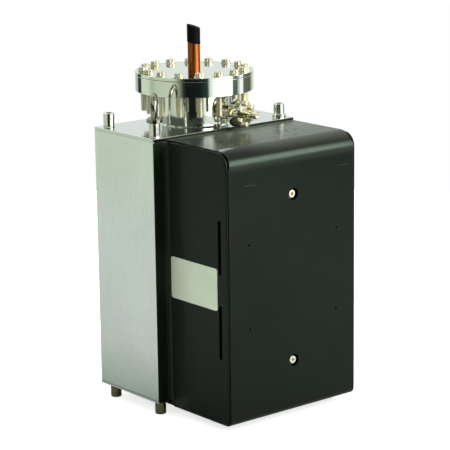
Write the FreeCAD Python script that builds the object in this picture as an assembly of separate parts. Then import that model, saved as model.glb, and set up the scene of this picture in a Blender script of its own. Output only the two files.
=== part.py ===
import FreeCAD, Part
import math
import os

# Sputter ion pump with its magnets on one side only.
# Millimetres. +X is to the right, -Y to the front, +Z up. The origin is on the
# floor, under the axis of the neck.

# Welded vessel
vessel_width = 230.0
vessel_depth = 122.0
vessel_height = 340.0
vessel_wall = 3.0
vessel_edge = 1.2

# Feet below and tapped posts above, one near each corner
foot_diameter = 14.0
foot_height = 18.0
post_diameter = 14.0
post_height = 18.0
post_inset = 13.5
post_chamfer = 1.0
tapped_radius = 3.4
tapped_depth = 14.0
collar_diameter = 17.6
collar_height = 5.0
collar_chamfer = 1.2

# Lifting eyebolt
eye_outer_diameter = 36.0
eye_bar = 8.0
eye_collar_diameter = 20.0
eye_collar_height = 6.0
eye_azimuth = 50.0
eye_thread_length = 12.0
turning_clearance = 0.05
seat_clearance = 0.05

# Neck and knife-edge inlet flange
neck_diameter = 88.9
neck_wall = 2.1
neck_height = 43.0
neck_weld = 1.5
flange_diameter = 151.6
flange_thickness = 20.0
flange_chamfer = 0.4
bolt_circle = 130.3
bolt_count = 16
first_bolt_angle = 12.0
gasket_outer_diameter = 120.5
gasket_inner_diameter = 101.8
gasket_thickness = 2.0
gasket_step = 1.6
knife_diameter = 115.5
knife_bite = 0.35
knife_floor_gap = 0.2
knife_slope_width = 4.0
leak_groove_width = 3.0
leak_groove_depth = 1.6
fit_clearance = 0.05

# Shipping plate, pinch-off tube and its cap
plate_thickness = 4.0
plate_hole_diameter = 8.4
pinch_tube_diameter = 15.8
pinch_tube_wall = 1.6
pinch_tube_length = 44.6
pinch_length = 10.0
pinch_edge = 2.0
cap_diameter = 17.0
cap_bottom_height = 32.6
cap_low_height = 53.6
cap_high_height = 59.1
cap_slant_azimuth = 140.0
cap_top_wall = 1.6
cap_rounding = 1.4

# Twelve-point flange bolts
bolt_diameter = 7.9
bolt_length = 50.8
short_bolt_length = 31.8
bolt_washer_diameter = 13.2
bolt_washer_height = 1.2
bolt_head_diameter = 11.2
bolt_head_height = 5.4
bolt_tip_chamfer = 1.0
bolt_side_clearance = 0.5

# High-voltage feedthrough, which stands out of the neck
feedthrough_azimuth = -75.0
feedthrough_lift = 17.0
nipple_diameter = 19.0
nipple_wall = 1.5
nipple_reach = 63.0
nipple_socket = 5.0
small_flange_diameter = 33.8
small_flange_thickness = 7.6
small_flange_gap = 0.3
small_bolt_circle = 27.0
small_bolt_count = 6
small_first_bolt_angle = 30.0
small_bolt_diameter = 3.9
small_hole_diameter = 4.4
small_head_width = 6.2
small_head_height = 3.8
small_gasket_diameter = 21.3
small_gasket_bore = 16.3
small_gasket_thickness = 2.0
shell_diameter = 9.8
shell_wall = 1.1
shell_reach = 97.7
shell_inner_reach = 62.0
shoulder_diameter = 11.6
shoulder_reach = 82.7
shoulder_groove_width = 0.4
shoulder_groove_depth = 0.3
insulator_recess = 2.2
pin_diameter = 2.4
pin_recess = 1.0
pin_inner_reach = 36.0

# Cover of bent sheet: one wrap over the front, and a tray at each side
cover_depth = 115.0
cover_bottom = 10.0
cover_drop = 4.0
cover_right_overhang = 2.5
cover_left_step = 21.5
cover_sheet = 1.5
wrap_bend = 26.0
wrap_foot_bend = 9.0
wrap_side_inset = 2.7
wrap_relief_depth = 4.8
wrap_relief_length = 34.0
wrap_rear_gap = 0.3
tray_corner = 17.5
tray_foot_corner = 10.0
tray_edge_bend = 2.0
tray_lip = 9.0
tray_rim_gap = 0.3
rear_flange_bend = 2.5
rear_flange_bottom = 20.0
left_tail_length = 13.0
left_tail_top_gap = 0.5
access_hole_diameter = 16.0
access_hole_inset = 65.5
front_hole_lift = 1.0
front_hole_diameter = 3.2
front_hole_spacing = (143.0, 106.0)
top_hole_diameter = 3.2
top_hole_row = 50.5
top_hole_spacings = (91.4, 123.0)
top_front_hole_row = 77.0
top_front_hole_spacing = 76.0
slot_width = 6.0
slot_length = 68.5
slot_bridge = 38.0
slot_front_inset = 15.5
rating_plate_size = (90.0, 53.0)
rating_plate_thickness = 0.6
rating_plate_corner = 3.0
rating_plate_rear_gap = 4.6

# Magnets and iron yoke inside the cover
yoke_side_thickness = 12.0
yoke_front_thickness = 14.0
yoke_base_thickness = 6.0
yoke_cover_gap = 8.0
magnet_width = 26.0
magnet_wall_gap = 3.0
magnet_front_gap = 4.0
magnet_bottom = 38.0
magnet_top_gap = 16.0
magnet_blocks = 3
pocket_magnet_gap = 1.5
screw_diameter = 5.9
screw_head_diameter = 10.0
screw_head_height = 6.0
screw_head_gap = 0.5
screw_socket_width = 5.0
screw_socket_depth = 3.0
screw_hole_clearance = 0.25
screw_grip = 11.0
yoke_screw_inset = 30.0
standoff_diameter = 14.0
standoff_clearance = 1.5
magnet_foot_diameter = 14.0
magnet_foot_spacing = 120.0
magnet_foot_setback = 57.0
magnet_foot_clearance = 1.5

# Element pockets on the front wall, and the elements in them
pocket_wall = 1.5
pocket_corner = 6.0
pocket_end_gap = 1.0
pocket_front_gap = 7.0
cathode_thickness = 1.5
cathode_wall_gap = 1.0
cathode_gap = 7.0
cathode_front_gap = 2.0
cathode_rear_gap = 4.5
cathode_end_gap = 2.0
element_frame_sheet = 1.5
element_frame_leg = 8.0
element_seat_gap = 0.5
cell_pitch = 20.0
cell_wall = 1.0
anode_border = 1.0
anode_end_gap = 8.0
anode_side_gap = 3.0
ceramic_diameter = 8.0
ceramic_spacing = 50.0
ceramic_groove = 0.8
bus_diameter = 3.0
bus_bend = 8.0
bus_radius = 24.0
bus_drop = 56.0
bus_strip_height = 10.0
bus_strip_thickness = 1.5
bus_strip_wall_gap = 6.0
bus_tab_width = 6.0

# Levels and places that follow from the sizes above
vessel_bottom = foot_height
vessel_top = vessel_bottom + vessel_height
front_y = -vessel_depth / 2
post_x = vessel_width / 2 - post_inset
post_y = vessel_depth / 2 - post_inset
corners = {
    "front_left": (-post_x, -post_y),
    "front_right": (post_x, -post_y),
    "rear_left": (-post_x, post_y),
    "rear_right": (post_x, post_y),
}
neck_radius = neck_diameter / 2
neck_bore = neck_radius - neck_wall
flange_bottom = vessel_top + neck_height
flange_top = flange_bottom + flange_thickness
gasket_bottom = flange_top - gasket_step
plate_bottom = gasket_bottom + gasket_thickness
plate_top = plate_bottom + plate_thickness
post_top = vessel_top + post_height
cap_bore = pinch_tube_diameter / 2 + turning_clearance

cover_right = vessel_width / 2 + cover_right_overhang
cover_left = -vessel_width / 2 + cover_left_step
cover_middle = (cover_left + cover_right) / 2
cover_front = front_y - cover_depth
cover_top = vessel_top - cover_drop
cover_mid_height = (cover_bottom + cover_top) / 2
access_heights = (
    cover_bottom + access_hole_inset + front_hole_lift,
    cover_top - access_hole_inset + front_hole_lift,
)

yoke_half = (cover_right - cover_left) / 2 - cover_sheet - yoke_cover_gap
yoke_front_face = cover_front + cover_sheet + screw_head_gap + screw_head_height
yoke_front_rear = yoke_front_face + yoke_front_thickness
magnet_rear = front_y - magnet_wall_gap
magnet_front = yoke_front_rear + magnet_front_gap
magnet_top = cover_top - magnet_top_gap
side_magnet_inner = yoke_half - yoke_side_thickness - magnet_width
pocket_width = side_magnet_inner - magnet_width / 2 - 2 * pocket_magnet_gap
pocket_offset = magnet_width / 2 + pocket_magnet_gap + pocket_width / 2
pocket_bottom = magnet_bottom + pocket_end_gap
pocket_top = magnet_top - pocket_end_gap
pocket_front = yoke_front_rear + pocket_front_gap
pocket_centres = {"left": cover_middle - pocket_offset, "right": cover_middle + pocket_offset}

cathode_outer = pocket_width / 2 - pocket_wall - cathode_wall_gap
cathode_inner = cathode_outer - cathode_thickness
anode_half = cathode_inner - cathode_gap
frame_bottom = pocket_bottom + pocket_wall + element_seat_gap
frame_top = pocket_top - pocket_wall - element_seat_gap
cathode_front = pocket_front + pocket_wall + cathode_front_gap
cathode_rear = front_y - cathode_rear_gap
row_pitch = cell_pitch
column_pitch = cell_pitch * math.sqrt(3) / 2
anode_room_height = frame_top - frame_bottom - 2 * element_frame_sheet - 2 * anode_end_gap
anode_room_depth = cathode_rear - cathode_front - anode_side_gap
cell_corner = cell_pitch / math.sqrt(3)
row_count = int((anode_room_height - 2 * anode_border) / row_pitch - 0.5)
column_count = int((anode_room_depth - 2 * anode_border - 2 * cell_corner) / column_pitch) + 1
anode_height = (row_count + 0.5) * row_pitch + 2 * anode_border
anode_depth = (column_count - 1) * column_pitch + 2 * cell_corner + 2 * anode_border
anode_bottom = (frame_bottom + frame_top - anode_height) / 2
anode_top = anode_bottom + anode_height
anode_mid_y = (cathode_front + cathode_rear) / 2
anode_rear = anode_mid_y + anode_depth / 2

feedthrough_height = vessel_top + feedthrough_lift
small_gasket_start = nipple_reach + small_flange_thickness - (small_gasket_thickness - small_flange_gap) / 2
front_flange_start = nipple_reach + small_flange_thickness + small_flange_gap
front_flange_end = front_flange_start + small_flange_thickness

UP = FreeCAD.Vector(0, 0, 1)
RIGHT = FreeCAD.Vector(1, 0, 0)
FORWARD = FreeCAD.Vector(0, -1, 0)


def point(x, y, z):
    return FreeCAD.Vector(x, y, z)


def block(x_range, y_range, z_range):
    """A block between two values on each axis."""
    size = [max(pair) - min(pair) for pair in (x_range, y_range, z_range)]
    return Part.makeBox(*size, point(min(x_range), min(y_range), min(z_range)))


def rod(diameter, start, direction, length):
    return Part.makeCylinder(diameter / 2, length, start, direction)


def lathe(profile, start=point(0, 0, 0), direction=UP):
    """Turn a list of (radius, height) points about an axis."""
    points = [point(radius, 0, height) for radius, height in profile]
    face = Part.Face(Part.makePolygon(points + points[:1]))
    solid = face.revolve(point(0, 0, 0), UP, 360)
    turn = FreeCAD.Rotation(UP, direction)
    solid.Placement = FreeCAD.Placement(start, turn)
    return solid


def prism(points, direction):
    return Part.Face(Part.makePolygon(points + points[:1])).extrude(direction)


def regular_points(centre, radius, count, first, second, start_angle=0.0):
    """Corners of a regular polygon in the plane of two unit vectors."""
    corner_points = []
    for index in range(count):
        angle = math.radians(start_angle + 360.0 * index / count)
        corner = first * (radius * math.cos(angle)) + second * (radius * math.sin(angle))
        corner_points.append(centre + corner)
    return corner_points


def edges_on(shape, test):
    return [edge for edge in shape.Edges if all(test(vertex.Point) for vertex in edge.Vertexes)]


def polar(radius, angle, height):
    turn = math.radians(angle)
    return point(radius * math.cos(turn), radius * math.sin(turn), height)


def bolt_angles():
    return [first_bolt_angle + 360.0 * index / bolt_count for index in range(bolt_count)]


def bolt_place(angle, height):
    return polar(bolt_circle / 2, angle, height)


def save(name, *solids):
    shape = solids[0] if len(solids) == 1 else Part.makeCompound(list(solids))
    shape.exportStep("parts/" + name + ".step")


# Vessel
def vessel_side_wall(side):
    outer = side * vessel_width / 2
    x_range = (outer - side * vessel_wall, outer)
    z_range = (vessel_bottom + vessel_wall, vessel_top - vessel_wall)
    wall = block(x_range, (-vessel_depth / 2, vessel_depth / 2), z_range)
    corner_edges = edges_on(wall, lambda place: place.x == outer and abs(place.y) == vessel_depth / 2)
    return wall.makeFillet(vessel_edge, corner_edges)


def rounded_plate(outer_height, inner_height):
    """An end plate whose corners and outer rim are rounded, as ground welds are."""
    half_width = vessel_width / 2
    half_depth = vessel_depth / 2
    plate = block((-half_width, half_width), (-half_depth, half_depth), (outer_height, inner_height))
    upright = [edge for edge in plate.Edges if abs(edge.tangentAt(0).z) > 0.9]
    plate = plate.makeFillet(vessel_edge, upright)
    return plate.makeFillet(vessel_edge, edges_on(plate, lambda place: abs(place.z - outer_height) < 0.01))


def vessel_rear_wall():
    half = vessel_width / 2 - vessel_wall
    z_range = (vessel_bottom + vessel_wall, vessel_top - vessel_wall)
    return block((-half, half), (vessel_depth / 2 - vessel_wall, vessel_depth / 2), z_range)


def vessel_front_wall():
    """The front wall, with a window behind each element pocket."""
    half = vessel_width / 2 - vessel_wall
    z_range = (vessel_bottom + vessel_wall, vessel_top - vessel_wall)
    wall = block((-half, half), (front_y, front_y + vessel_wall), z_range)
    depth = front_y + 2 * vessel_wall
    windows = [pocket_form(centre, pocket_wall, depth) for centre in pocket_centres.values()]
    return wall.cut(windows)


def vessel_top_plate():
    plate = rounded_plate(vessel_top, vessel_top - vessel_wall)
    return plate.cut(rod(2 * neck_bore, point(0, 0, vessel_top - 2 * vessel_wall), UP, 4 * vessel_wall))


def vessel_bottom_plate():
    return rounded_plate(vessel_bottom, vessel_bottom + vessel_wall)


def pocket_form(centre, inset, rear):
    """The drawn form of a pocket, shrunk all over by inset, from its front to rear."""
    half = pocket_width / 2 - inset
    front = pocket_front + inset
    form = block((centre - half, centre + half), (front, rear), (pocket_bottom + inset, pocket_top - inset))
    long_edges = [edge for edge in form.Edges if abs(edge.tangentAt(0).y) > 0.9]
    form = form.makeFillet(pocket_corner - inset, long_edges)
    front_edges = edges_on(form, lambda place: abs(place.y - front) < 0.01)
    return form.makeFillet((pocket_corner - inset) / 2, front_edges)


def pocket(centre):
    return pocket_form(centre, 0, front_y).cut(pocket_form(centre, pocket_wall, front_y + vessel_wall))


# Posts and feet
def tapped_stub(x, y, face_height, direction, length, diameter):
    """A round stub with a chamfered outer end and a tapped hole in it."""
    radius = diameter / 2
    profile = [
        (0, 0), (radius, 0), (radius, length - post_chamfer), (radius - post_chamfer, length),
        (tapped_radius, length), (tapped_radius, length - tapped_depth), (0, length - tapped_depth),
    ]
    return lathe(profile, point(x, y, face_height), direction)


def post(x, y):
    return tapped_stub(x, y, vessel_top, UP, post_height, post_diameter)


def foot(x, y):
    return tapped_stub(x, y, vessel_bottom, -UP, foot_height, foot_diameter)


def post_collar():
    """A chamfered ring round the root of the front right post."""
    inner = post_diameter / 2 + fit_clearance
    outer = collar_diameter / 2
    profile = [
        (inner, 0), (outer, 0), (outer, collar_height - collar_chamfer),
        (outer - collar_chamfer, collar_height), (inner, collar_height),
    ]
    x, y = corners["front_right"]
    return lathe(profile, point(x, y, vessel_top))


def lifting_eyebolt():
    """Ring, collar and shank; the shank turns in the front left post."""
    x, y = corners["front_left"]
    seat = post_top + seat_clearance
    ring_radius = (eye_outer_diameter - eye_bar) / 2
    ring_height = seat + eye_outer_diameter / 2
    ring_normal = polar(1, eye_azimuth - 90, 0)
    ring = Part.makeTorus(ring_radius, eye_bar / 2, point(x, y, ring_height), ring_normal)
    collar_radius = eye_collar_diameter / 2
    shank_radius = tapped_radius - turning_clearance
    profile = [
        (0, -eye_thread_length), (shank_radius - 0.8, -eye_thread_length),
        (shank_radius, 0.8 - eye_thread_length), (shank_radius, 0), (collar_radius, 0),
        (collar_radius, eye_collar_height - 2), (collar_radius - 2, eye_collar_height),
        (eye_bar / 2, eye_bar), (0, eye_bar),
    ]
    return ring.fuse(lathe(profile, point(x, y, seat))).removeSplitter()


# Neck, inlet flange and what closes it
def neck_tube():
    """A tube with a weld fillet at its root, pierced for the feedthrough."""
    top = flange_top - vessel_top - flange_thickness / 3
    profile = [
        (neck_bore, 0), (neck_radius + neck_weld, 0), (neck_radius, neck_weld),
        (neck_radius, top), (neck_bore, top),
    ]
    tube = lathe(profile, point(0, 0, vessel_top))
    bore = nipple_diameter - 2 * nipple_wall
    return tube.cut(feedthrough_rod(bore, 0, nipple_reach))


def inlet_flange():
    """Knife-edge flange: socket for the neck, knife, gasket recess, tapped holes."""
    socket = neck_radius + fit_clearance
    socket_top = flange_thickness * 2 / 3 + fit_clearance
    recess = gasket_outer_diameter / 2 + fit_clearance
    knife = knife_diameter / 2
    gasket_level = flange_thickness - gasket_step
    floor = gasket_level - knife_floor_gap
    tip = gasket_level + knife_bite
    outer = flange_diameter / 2
    chamfer = flange_chamfer
    profile = [
        (socket, 0), (outer - chamfer, 0), (outer, chamfer), (outer, flange_thickness - chamfer),
        (outer - chamfer, flange_thickness), (recess, flange_thickness), (recess, floor), (knife, floor),
        (knife, tip), (knife - knife_slope_width, floor - knife_bite), (neck_bore, floor - knife_bite),
        (neck_bore, socket_top), (socket, socket_top),
    ]
    flange = lathe(profile, point(0, 0, flange_bottom))
    hole = bolt_diameter + 2 * fit_clearance
    holes = [rod(hole, bolt_place(angle, flange_bottom), UP, flange_thickness) for angle in bolt_angles()]
    return flange.cut(holes + leak_grooves())


def leak_grooves():
    """Two radial grooves in the face, midway between bolts, for leak testing."""
    grooves = []
    recess = gasket_outer_diameter / 2
    for turn in (0, 180):
        angle = first_bolt_angle - 360.0 / bolt_count * 2.5 + turn
        half = leak_groove_width / 2
        z_range = (flange_top - leak_groove_depth, flange_top + 1)
        groove = block((recess, flange_diameter / 2 + 1), (-half, half), z_range)
        groove.rotate(point(0, 0, 0), UP, angle)
        grooves.append(groove)
    return grooves


def inlet_gasket():
    """Flat copper ring with the groove that the knife presses into it."""
    knife = knife_diameter / 2
    inner = gasket_inner_diameter / 2
    outer = gasket_outer_diameter / 2
    slope = (2 * knife_bite + knife_floor_gap) / knife_slope_width
    groove_start = knife - knife_bite / slope
    profile = [
        (inner, 0), (groove_start, 0), (knife, knife_bite), (knife, 0), (outer, 0),
        (outer, gasket_thickness), (inner, gasket_thickness),
    ]
    return lathe(profile, point(0, 0, gasket_bottom))


def shipping_plate():
    radius = flange_diameter / 2
    tube_hole = pinch_tube_diameter / 2 + fit_clearance
    edge = flange_chamfer / 2
    profile = [
        (tube_hole, 0), (radius - edge, 0), (radius, edge), (radius, plate_thickness - edge),
        (radius - edge, plate_thickness), (tube_hole, plate_thickness),
    ]
    plate = lathe(profile, point(0, 0, plate_bottom))
    start = plate_bottom - 1
    length = plate_thickness + 2
    holes = [rod(plate_hole_diameter, bolt_place(angle, start), UP, length) for angle in bolt_angles()]
    return plate.cut(holes)


def flange_bolt_length(angle):
    """The bolt right over the feedthrough is shorter, to stay clear of its flange."""
    sideways = bolt_circle / 2 * math.sin(math.radians(angle - feedthrough_azimuth))
    ahead = math.cos(math.radians(angle - feedthrough_azimuth)) > 0
    reach = (small_flange_diameter + bolt_diameter) / 2 + bolt_side_clearance
    return short_bolt_length if ahead and abs(sideways) < reach else bolt_length


def flange_bolt(angle, length):
    """A twelve-point bolt: a twelve-pointed head on a round washer face."""
    centre = bolt_place(angle, plate_top)
    radius = bolt_diameter / 2
    washer = bolt_washer_diameter / 2
    head_radius = bolt_head_diameter / 2
    profile = [
        (0, -length), (radius - bolt_tip_chamfer, -length),
        (radius, bolt_tip_chamfer - length), (radius, 0), (washer, 0),
        (washer, bolt_washer_height / 2), (head_radius, bolt_washer_height), (0, bolt_washer_height),
    ]
    base = centre + UP * bolt_washer_height
    outward = polar(1, angle, 0)
    across = polar(1, angle + 90, 0)
    outer = regular_points(base, head_radius, 12, outward, across)
    inner_radius = head_radius * math.cos(math.radians(30)) / math.cos(math.radians(15))
    inner = regular_points(base, inner_radius, 12, outward, across, 15)
    star = [corner for pair in zip(outer, inner) for corner in pair]
    head = prism(star, UP * (bolt_head_height - bolt_washer_height))
    return lathe(profile, centre).fuse(head)


def pinch_off_tube():
    """Copper tube, brazed into the plate, whose upper end is squeezed flat."""
    radius = pinch_tube_diameter / 2
    bore = radius - pinch_tube_wall
    round_length = plate_thickness + pinch_tube_length - pinch_length
    start = point(0, 0, plate_bottom)
    tube = rod(2 * radius, start, UP, round_length).cut(rod(2 * bore, start, UP, round_length))
    root = plate_bottom + round_length
    tip = root + pinch_length
    shoulder = Part.makeCylinder(radius, pinch_length, point(0, 0, root))
    cheeks = []
    for side in (-1, 1):
        cheek = [
            point(-2 * radius, side * radius, root), point(-2 * radius, side * pinch_edge / 2, tip),
            point(-2 * radius, side * 2 * radius, tip), point(-2 * radius, side * 2 * radius, root),
        ]
        cheeks.append(prism(cheek, RIGHT * 4 * radius))
    pinch = shoulder.cut(cheeks)
    pinch.rotate(point(0, 0, 0), UP, cap_slant_azimuth + 90)
    return tube.fuse(pinch)


def slanted_plug(radius, bottom, low, high, rounding):
    """A plug whose top slants up towards the cap's high side, with a rounded rim."""
    plug = Part.makeCylinder(radius, high - bottom + 1, point(0, 0, bottom))
    wide = 2 * radius
    rise = (high - low) / 2 * wide / radius
    middle = (high + low) / 2
    wedge = [
        point(-wide, -wide, middle - rise), point(wide, -wide, middle + rise),
        point(wide, -wide, high + wide), point(-wide, -wide, high + wide),
    ]
    plug = plug.cut(prism(wedge, point(0, 2 * wide, 0)))
    rim = edges_on(plug, lambda place: place.z > bottom + 1)
    rim = [edge for edge in rim if len(edge.Vertexes) == 1]
    plug = plug.makeFillet(rounding, rim)
    plug.rotate(point(0, 0, 0), UP, cap_slant_azimuth)
    return plug


def pinch_off_cap():
    bottom = plate_top + cap_bottom_height
    low = plate_top + cap_low_height
    high = plate_top + cap_high_height
    outer = slanted_plug(cap_diameter / 2, bottom, low, high, cap_rounding)
    inner_low = low - cap_top_wall
    inner_high = high - cap_top_wall
    inner = slanted_plug(cap_bore, bottom - 1, inner_low, inner_high, cap_rounding - 0.6)
    return outer.cut(inner)


# High-voltage feedthrough
def feedthrough_axis():
    return polar(1, feedthrough_azimuth, 0)


def feedthrough_point(reach):
    return polar(reach, feedthrough_azimuth, feedthrough_height)


def feedthrough_rod(diameter, start, end):
    return rod(diameter, feedthrough_point(start), feedthrough_axis(), end - start)


def feedthrough_nipple():
    """A short tube whose root is shaped to the round of the neck."""
    end = nipple_reach + nipple_socket
    bore = nipple_diameter - 2 * nipple_wall
    tube = feedthrough_rod(nipple_diameter, 0, end).cut(feedthrough_rod(bore, 0, end))
    return tube.cut(rod(neck_diameter, point(0, 0, vessel_top), UP, 2 * neck_height))


def small_bolt_places(reach):
    across = polar(1, feedthrough_azimuth + 90, 0)
    centre = feedthrough_point(reach)
    radius = small_bolt_circle / 2
    return regular_points(centre, radius, small_bolt_count, across, UP, small_first_bolt_angle)


def small_flange(start, hole_diameter, face_step, back_profile):
    """A small flange from a list of (radius, height) points round its bore."""
    outer = small_flange_diameter / 2
    length = small_flange_thickness
    edge = flange_chamfer / 2
    rim = [(outer - edge, 0), (outer, edge), (outer, length - edge), (outer - edge, length)]
    flange = lathe(face_step + rim + back_profile, feedthrough_point(start), feedthrough_axis())
    axis = feedthrough_axis()
    return flange.cut([rod(hole_diameter, place, axis, length) for place in small_bolt_places(start)])


def nipple_flange():
    """The flange on the nipple, with tapped holes and the gasket's recess in front."""
    socket = nipple_diameter / 2 + fit_clearance
    bore = nipple_diameter / 2 - nipple_wall
    recess = small_gasket_diameter / 2 + fit_clearance
    length = small_flange_thickness
    step = length - (small_gasket_thickness - small_flange_gap) / 2
    end = nipple_socket + fit_clearance
    front = [(recess, length), (recess, step), (bore, step), (bore, end), (socket, end)]
    return small_flange(nipple_reach, small_bolt_diameter + 2 * fit_clearance, [(socket, 0)], front)


def feedthrough_flange():
    """The flange that carries the connector, with clearance holes."""
    hole = shoulder_diameter / 2 + fit_clearance
    recess = small_gasket_diameter / 2 + fit_clearance
    step = (small_gasket_thickness - small_flange_gap) / 2
    back = [(hole, step), (recess, step), (recess, 0)]
    return small_flange(front_flange_start, small_hole_diameter, back, [(hole, small_flange_thickness)])


def feedthrough_gasket():
    end = small_gasket_start + small_gasket_thickness
    ring = feedthrough_rod(small_gasket_diameter, small_gasket_start, end)
    return ring.cut(feedthrough_rod(small_gasket_bore, small_gasket_start, end))


def feedthrough_bolts():
    axis = feedthrough_axis()
    across = polar(1, feedthrough_azimuth + 90, 0)
    shank_length = front_flange_end - nipple_reach
    bolts = []
    for place in small_bolt_places(front_flange_end):
        shank = rod(small_bolt_diameter, place, -axis, shank_length)
        hexagon = regular_points(place, small_head_width / math.sqrt(3), 6, across, UP)
        head = prism(hexagon, axis * small_head_height)
        bolts.append(shank.fuse(head))
    return bolts


def connector_shell():
    """A shell whose shoulder stops the plug, with a relief groove in front of it."""
    bore = shell_diameter / 2 - shell_wall
    outer = shell_diameter / 2
    groove = outer - shoulder_groove_depth
    shoulder = shoulder_reach - shell_inner_reach
    groove_end = shoulder + shoulder_groove_width
    length = shell_reach - shell_inner_reach
    profile = [
        (bore, 0), (shoulder_diameter / 2, 0), (shoulder_diameter / 2, shoulder), (groove, shoulder),
        (groove, groove_end), (outer, groove_end), (outer, length), (bore, length),
    ]
    return lathe(profile, feedthrough_point(shell_inner_reach), feedthrough_axis())


def connector_insulator():
    diameter = shell_diameter - 2 * shell_wall - 2 * fit_clearance
    end = shell_reach - insulator_recess
    plug = feedthrough_rod(diameter, shell_inner_reach, end)
    return plug.cut(feedthrough_rod(pin_diameter + 2 * fit_clearance, shell_inner_reach, end))


def connector_pin():
    return feedthrough_rod(pin_diameter, pin_inner_reach, shell_reach - pin_recess)


# Cover
def outline_face(x, rear, front, bottom, top, foot_radius, top_radius):
    """A flat face across X whose two front corners are round."""
    foot_arm = foot_radius * (1 - math.sqrt(0.5))
    top_arm = top_radius * (1 - math.sqrt(0.5))
    edges = [
        Part.makeLine(point(x, rear, bottom), point(x, front + foot_radius, bottom)),
        Part.Arc(
            point(x, front + foot_radius, bottom),
            point(x, front + foot_arm, bottom + foot_arm),
            point(x, front, bottom + foot_radius),
        ).toShape(),
        Part.makeLine(point(x, front, bottom + foot_radius), point(x, front, top - top_radius)),
        Part.Arc(
            point(x, front, top - top_radius),
            point(x, front + top_arm, top - top_arm),
            point(x, front + top_radius, top),
        ).toShape(),
        Part.makeLine(point(x, front + top_radius, top), point(x, rear, top)),
        Part.makeLine(point(x, rear, top), point(x, rear, bottom)),
    ]
    return Part.Face(Part.Wire(edges))


def wrap_form(inset, rear, left, right):
    """The filled form of the wrap, shrunk by inset."""
    levels = (cover_front + inset, cover_bottom + inset, cover_top - inset)
    face = outline_face(left, rear, *levels, wrap_foot_bend - inset, wrap_bend - inset)
    return face.extrude(RIGHT * (right - left))


def wrap_relief(left):
    """Round bite out of the left end of the upper bend, behind the tray's corner."""
    half = wrap_relief_length / 2
    radius = (wrap_relief_depth ** 2 + half ** 2) / (2 * wrap_relief_depth)
    start = point(left + wrap_relief_depth - radius, cover_front + wrap_bend, cover_top - wrap_bend)
    return rod(2 * radius, start, point(0, -math.sqrt(0.5), math.sqrt(0.5)), wrap_bend + 1)


def front_hole_places():
    across, up = front_hole_spacing
    height = cover_mid_height + front_hole_lift
    return [(cover_middle + i * across / 2, height + j * up / 2) for i in (-1, 1) for j in (-1, 1)]


def top_hole_places():
    row = front_y - top_hole_row
    places = [(cover_middle + i * spacing / 2, row) for spacing in top_hole_spacings for i in (-1, 1)]
    row = front_y - top_front_hole_row
    return places + [(cover_middle + i * top_front_hole_spacing / 2, row) for i in (-1, 1)]


def magnet_foot_places():
    y = front_y - magnet_foot_setback
    half = magnet_foot_spacing / 2
    return {"left": (cover_middle - half, y), "right": (cover_middle + half, y)}


def cover_wrap():
    """The bent sheet over the top, front and bottom, with all its holes."""
    left = cover_left + wrap_side_inset
    right = cover_right - wrap_side_inset
    rear = front_y - wrap_rear_gap
    sheet = wrap_form(0, rear, left, right).cut(wrap_form(cover_sheet, rear + 1, left - 1, right + 1))
    start = cover_front - 1
    reach = 2 * cover_sheet + 1
    cuts = [rod(access_hole_diameter, point(cover_middle, start, z), -FORWARD, reach) for z in access_heights]
    cuts += [rod(front_hole_diameter, point(x, start, z), -FORWARD, reach) for x, z in front_hole_places()]
    below = cover_top - reach + 1
    cuts += [rod(top_hole_diameter, point(x, y, below), UP, reach) for x, y in top_hole_places()]
    foot_hole = magnet_foot_diameter + 2 * magnet_foot_clearance
    for x, y in magnet_foot_places().values():
        cuts.append(rod(foot_hole, point(x, y, cover_bottom - 1), UP, reach))
    return sheet.cut(cuts + [wrap_relief(left)])


def tray_form(inset, side, rear):
    """The filled form of a side tray, its flat face outwards, shrunk by inset."""
    bottom = cover_bottom + cover_sheet + inset
    top = cover_top - cover_sheet - inset
    front = cover_front + cover_sheet + inset
    outer = (cover_left if side < 0 else cover_right) - side * inset
    face = outline_face(outer, rear, front, bottom, top, tray_foot_corner - inset, tray_corner - inset)
    form = face.extrude(RIGHT * (-side * (tray_lip + inset)))
    rim = edges_on(form, lambda place: abs(place.x - outer) < 0.01)
    rim = [edge for edge in rim if any(vertex.Point.y < rear - 0.01 for vertex in edge.Vertexes)]
    return form.makeFillet(tray_edge_bend - inset, rim)


def lip_notch(side):
    """The lip of a tray leaves room for the wrap's upper bend, whose radius is larger."""
    start = (cover_left if side < 0 else cover_right) - side * (wrap_side_inset - tray_rim_gap)
    x_range = (start, start - side * tray_lip)
    return block(x_range, (cover_front, cover_front + wrap_bend), (cover_top - wrap_bend, cover_top))


def side_slots(side):
    """Two upright slots with round ends near the front of a side panel."""
    x = cover_left if side < 0 else cover_right
    y = cover_front + slot_front_inset
    start = x + side * 1.0
    depth = RIGHT * (-side * (cover_sheet + 2.0))
    slots = []
    for way in (-1, 1):
        near = cover_mid_height + way * (slot_bridge / 2 + slot_width / 2)
        far = cover_mid_height + way * (slot_bridge / 2 + slot_length - slot_width / 2)
        slots.append(block((start, start + depth.x), (y - slot_width / 2, y + slot_width / 2), (near, far)))
        ends = [point(start, y, z) for z in (near, far)]
        slots += [Part.makeCylinder(slot_width / 2, depth.Length, end, depth) for end in ends]
    return slots


def cover_side_right():
    tray = tray_form(0, 1, front_y).cut(tray_form(cover_sheet, 1, front_y + 1))
    return tray.cut(side_slots(1) + [lip_notch(1)])


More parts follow.
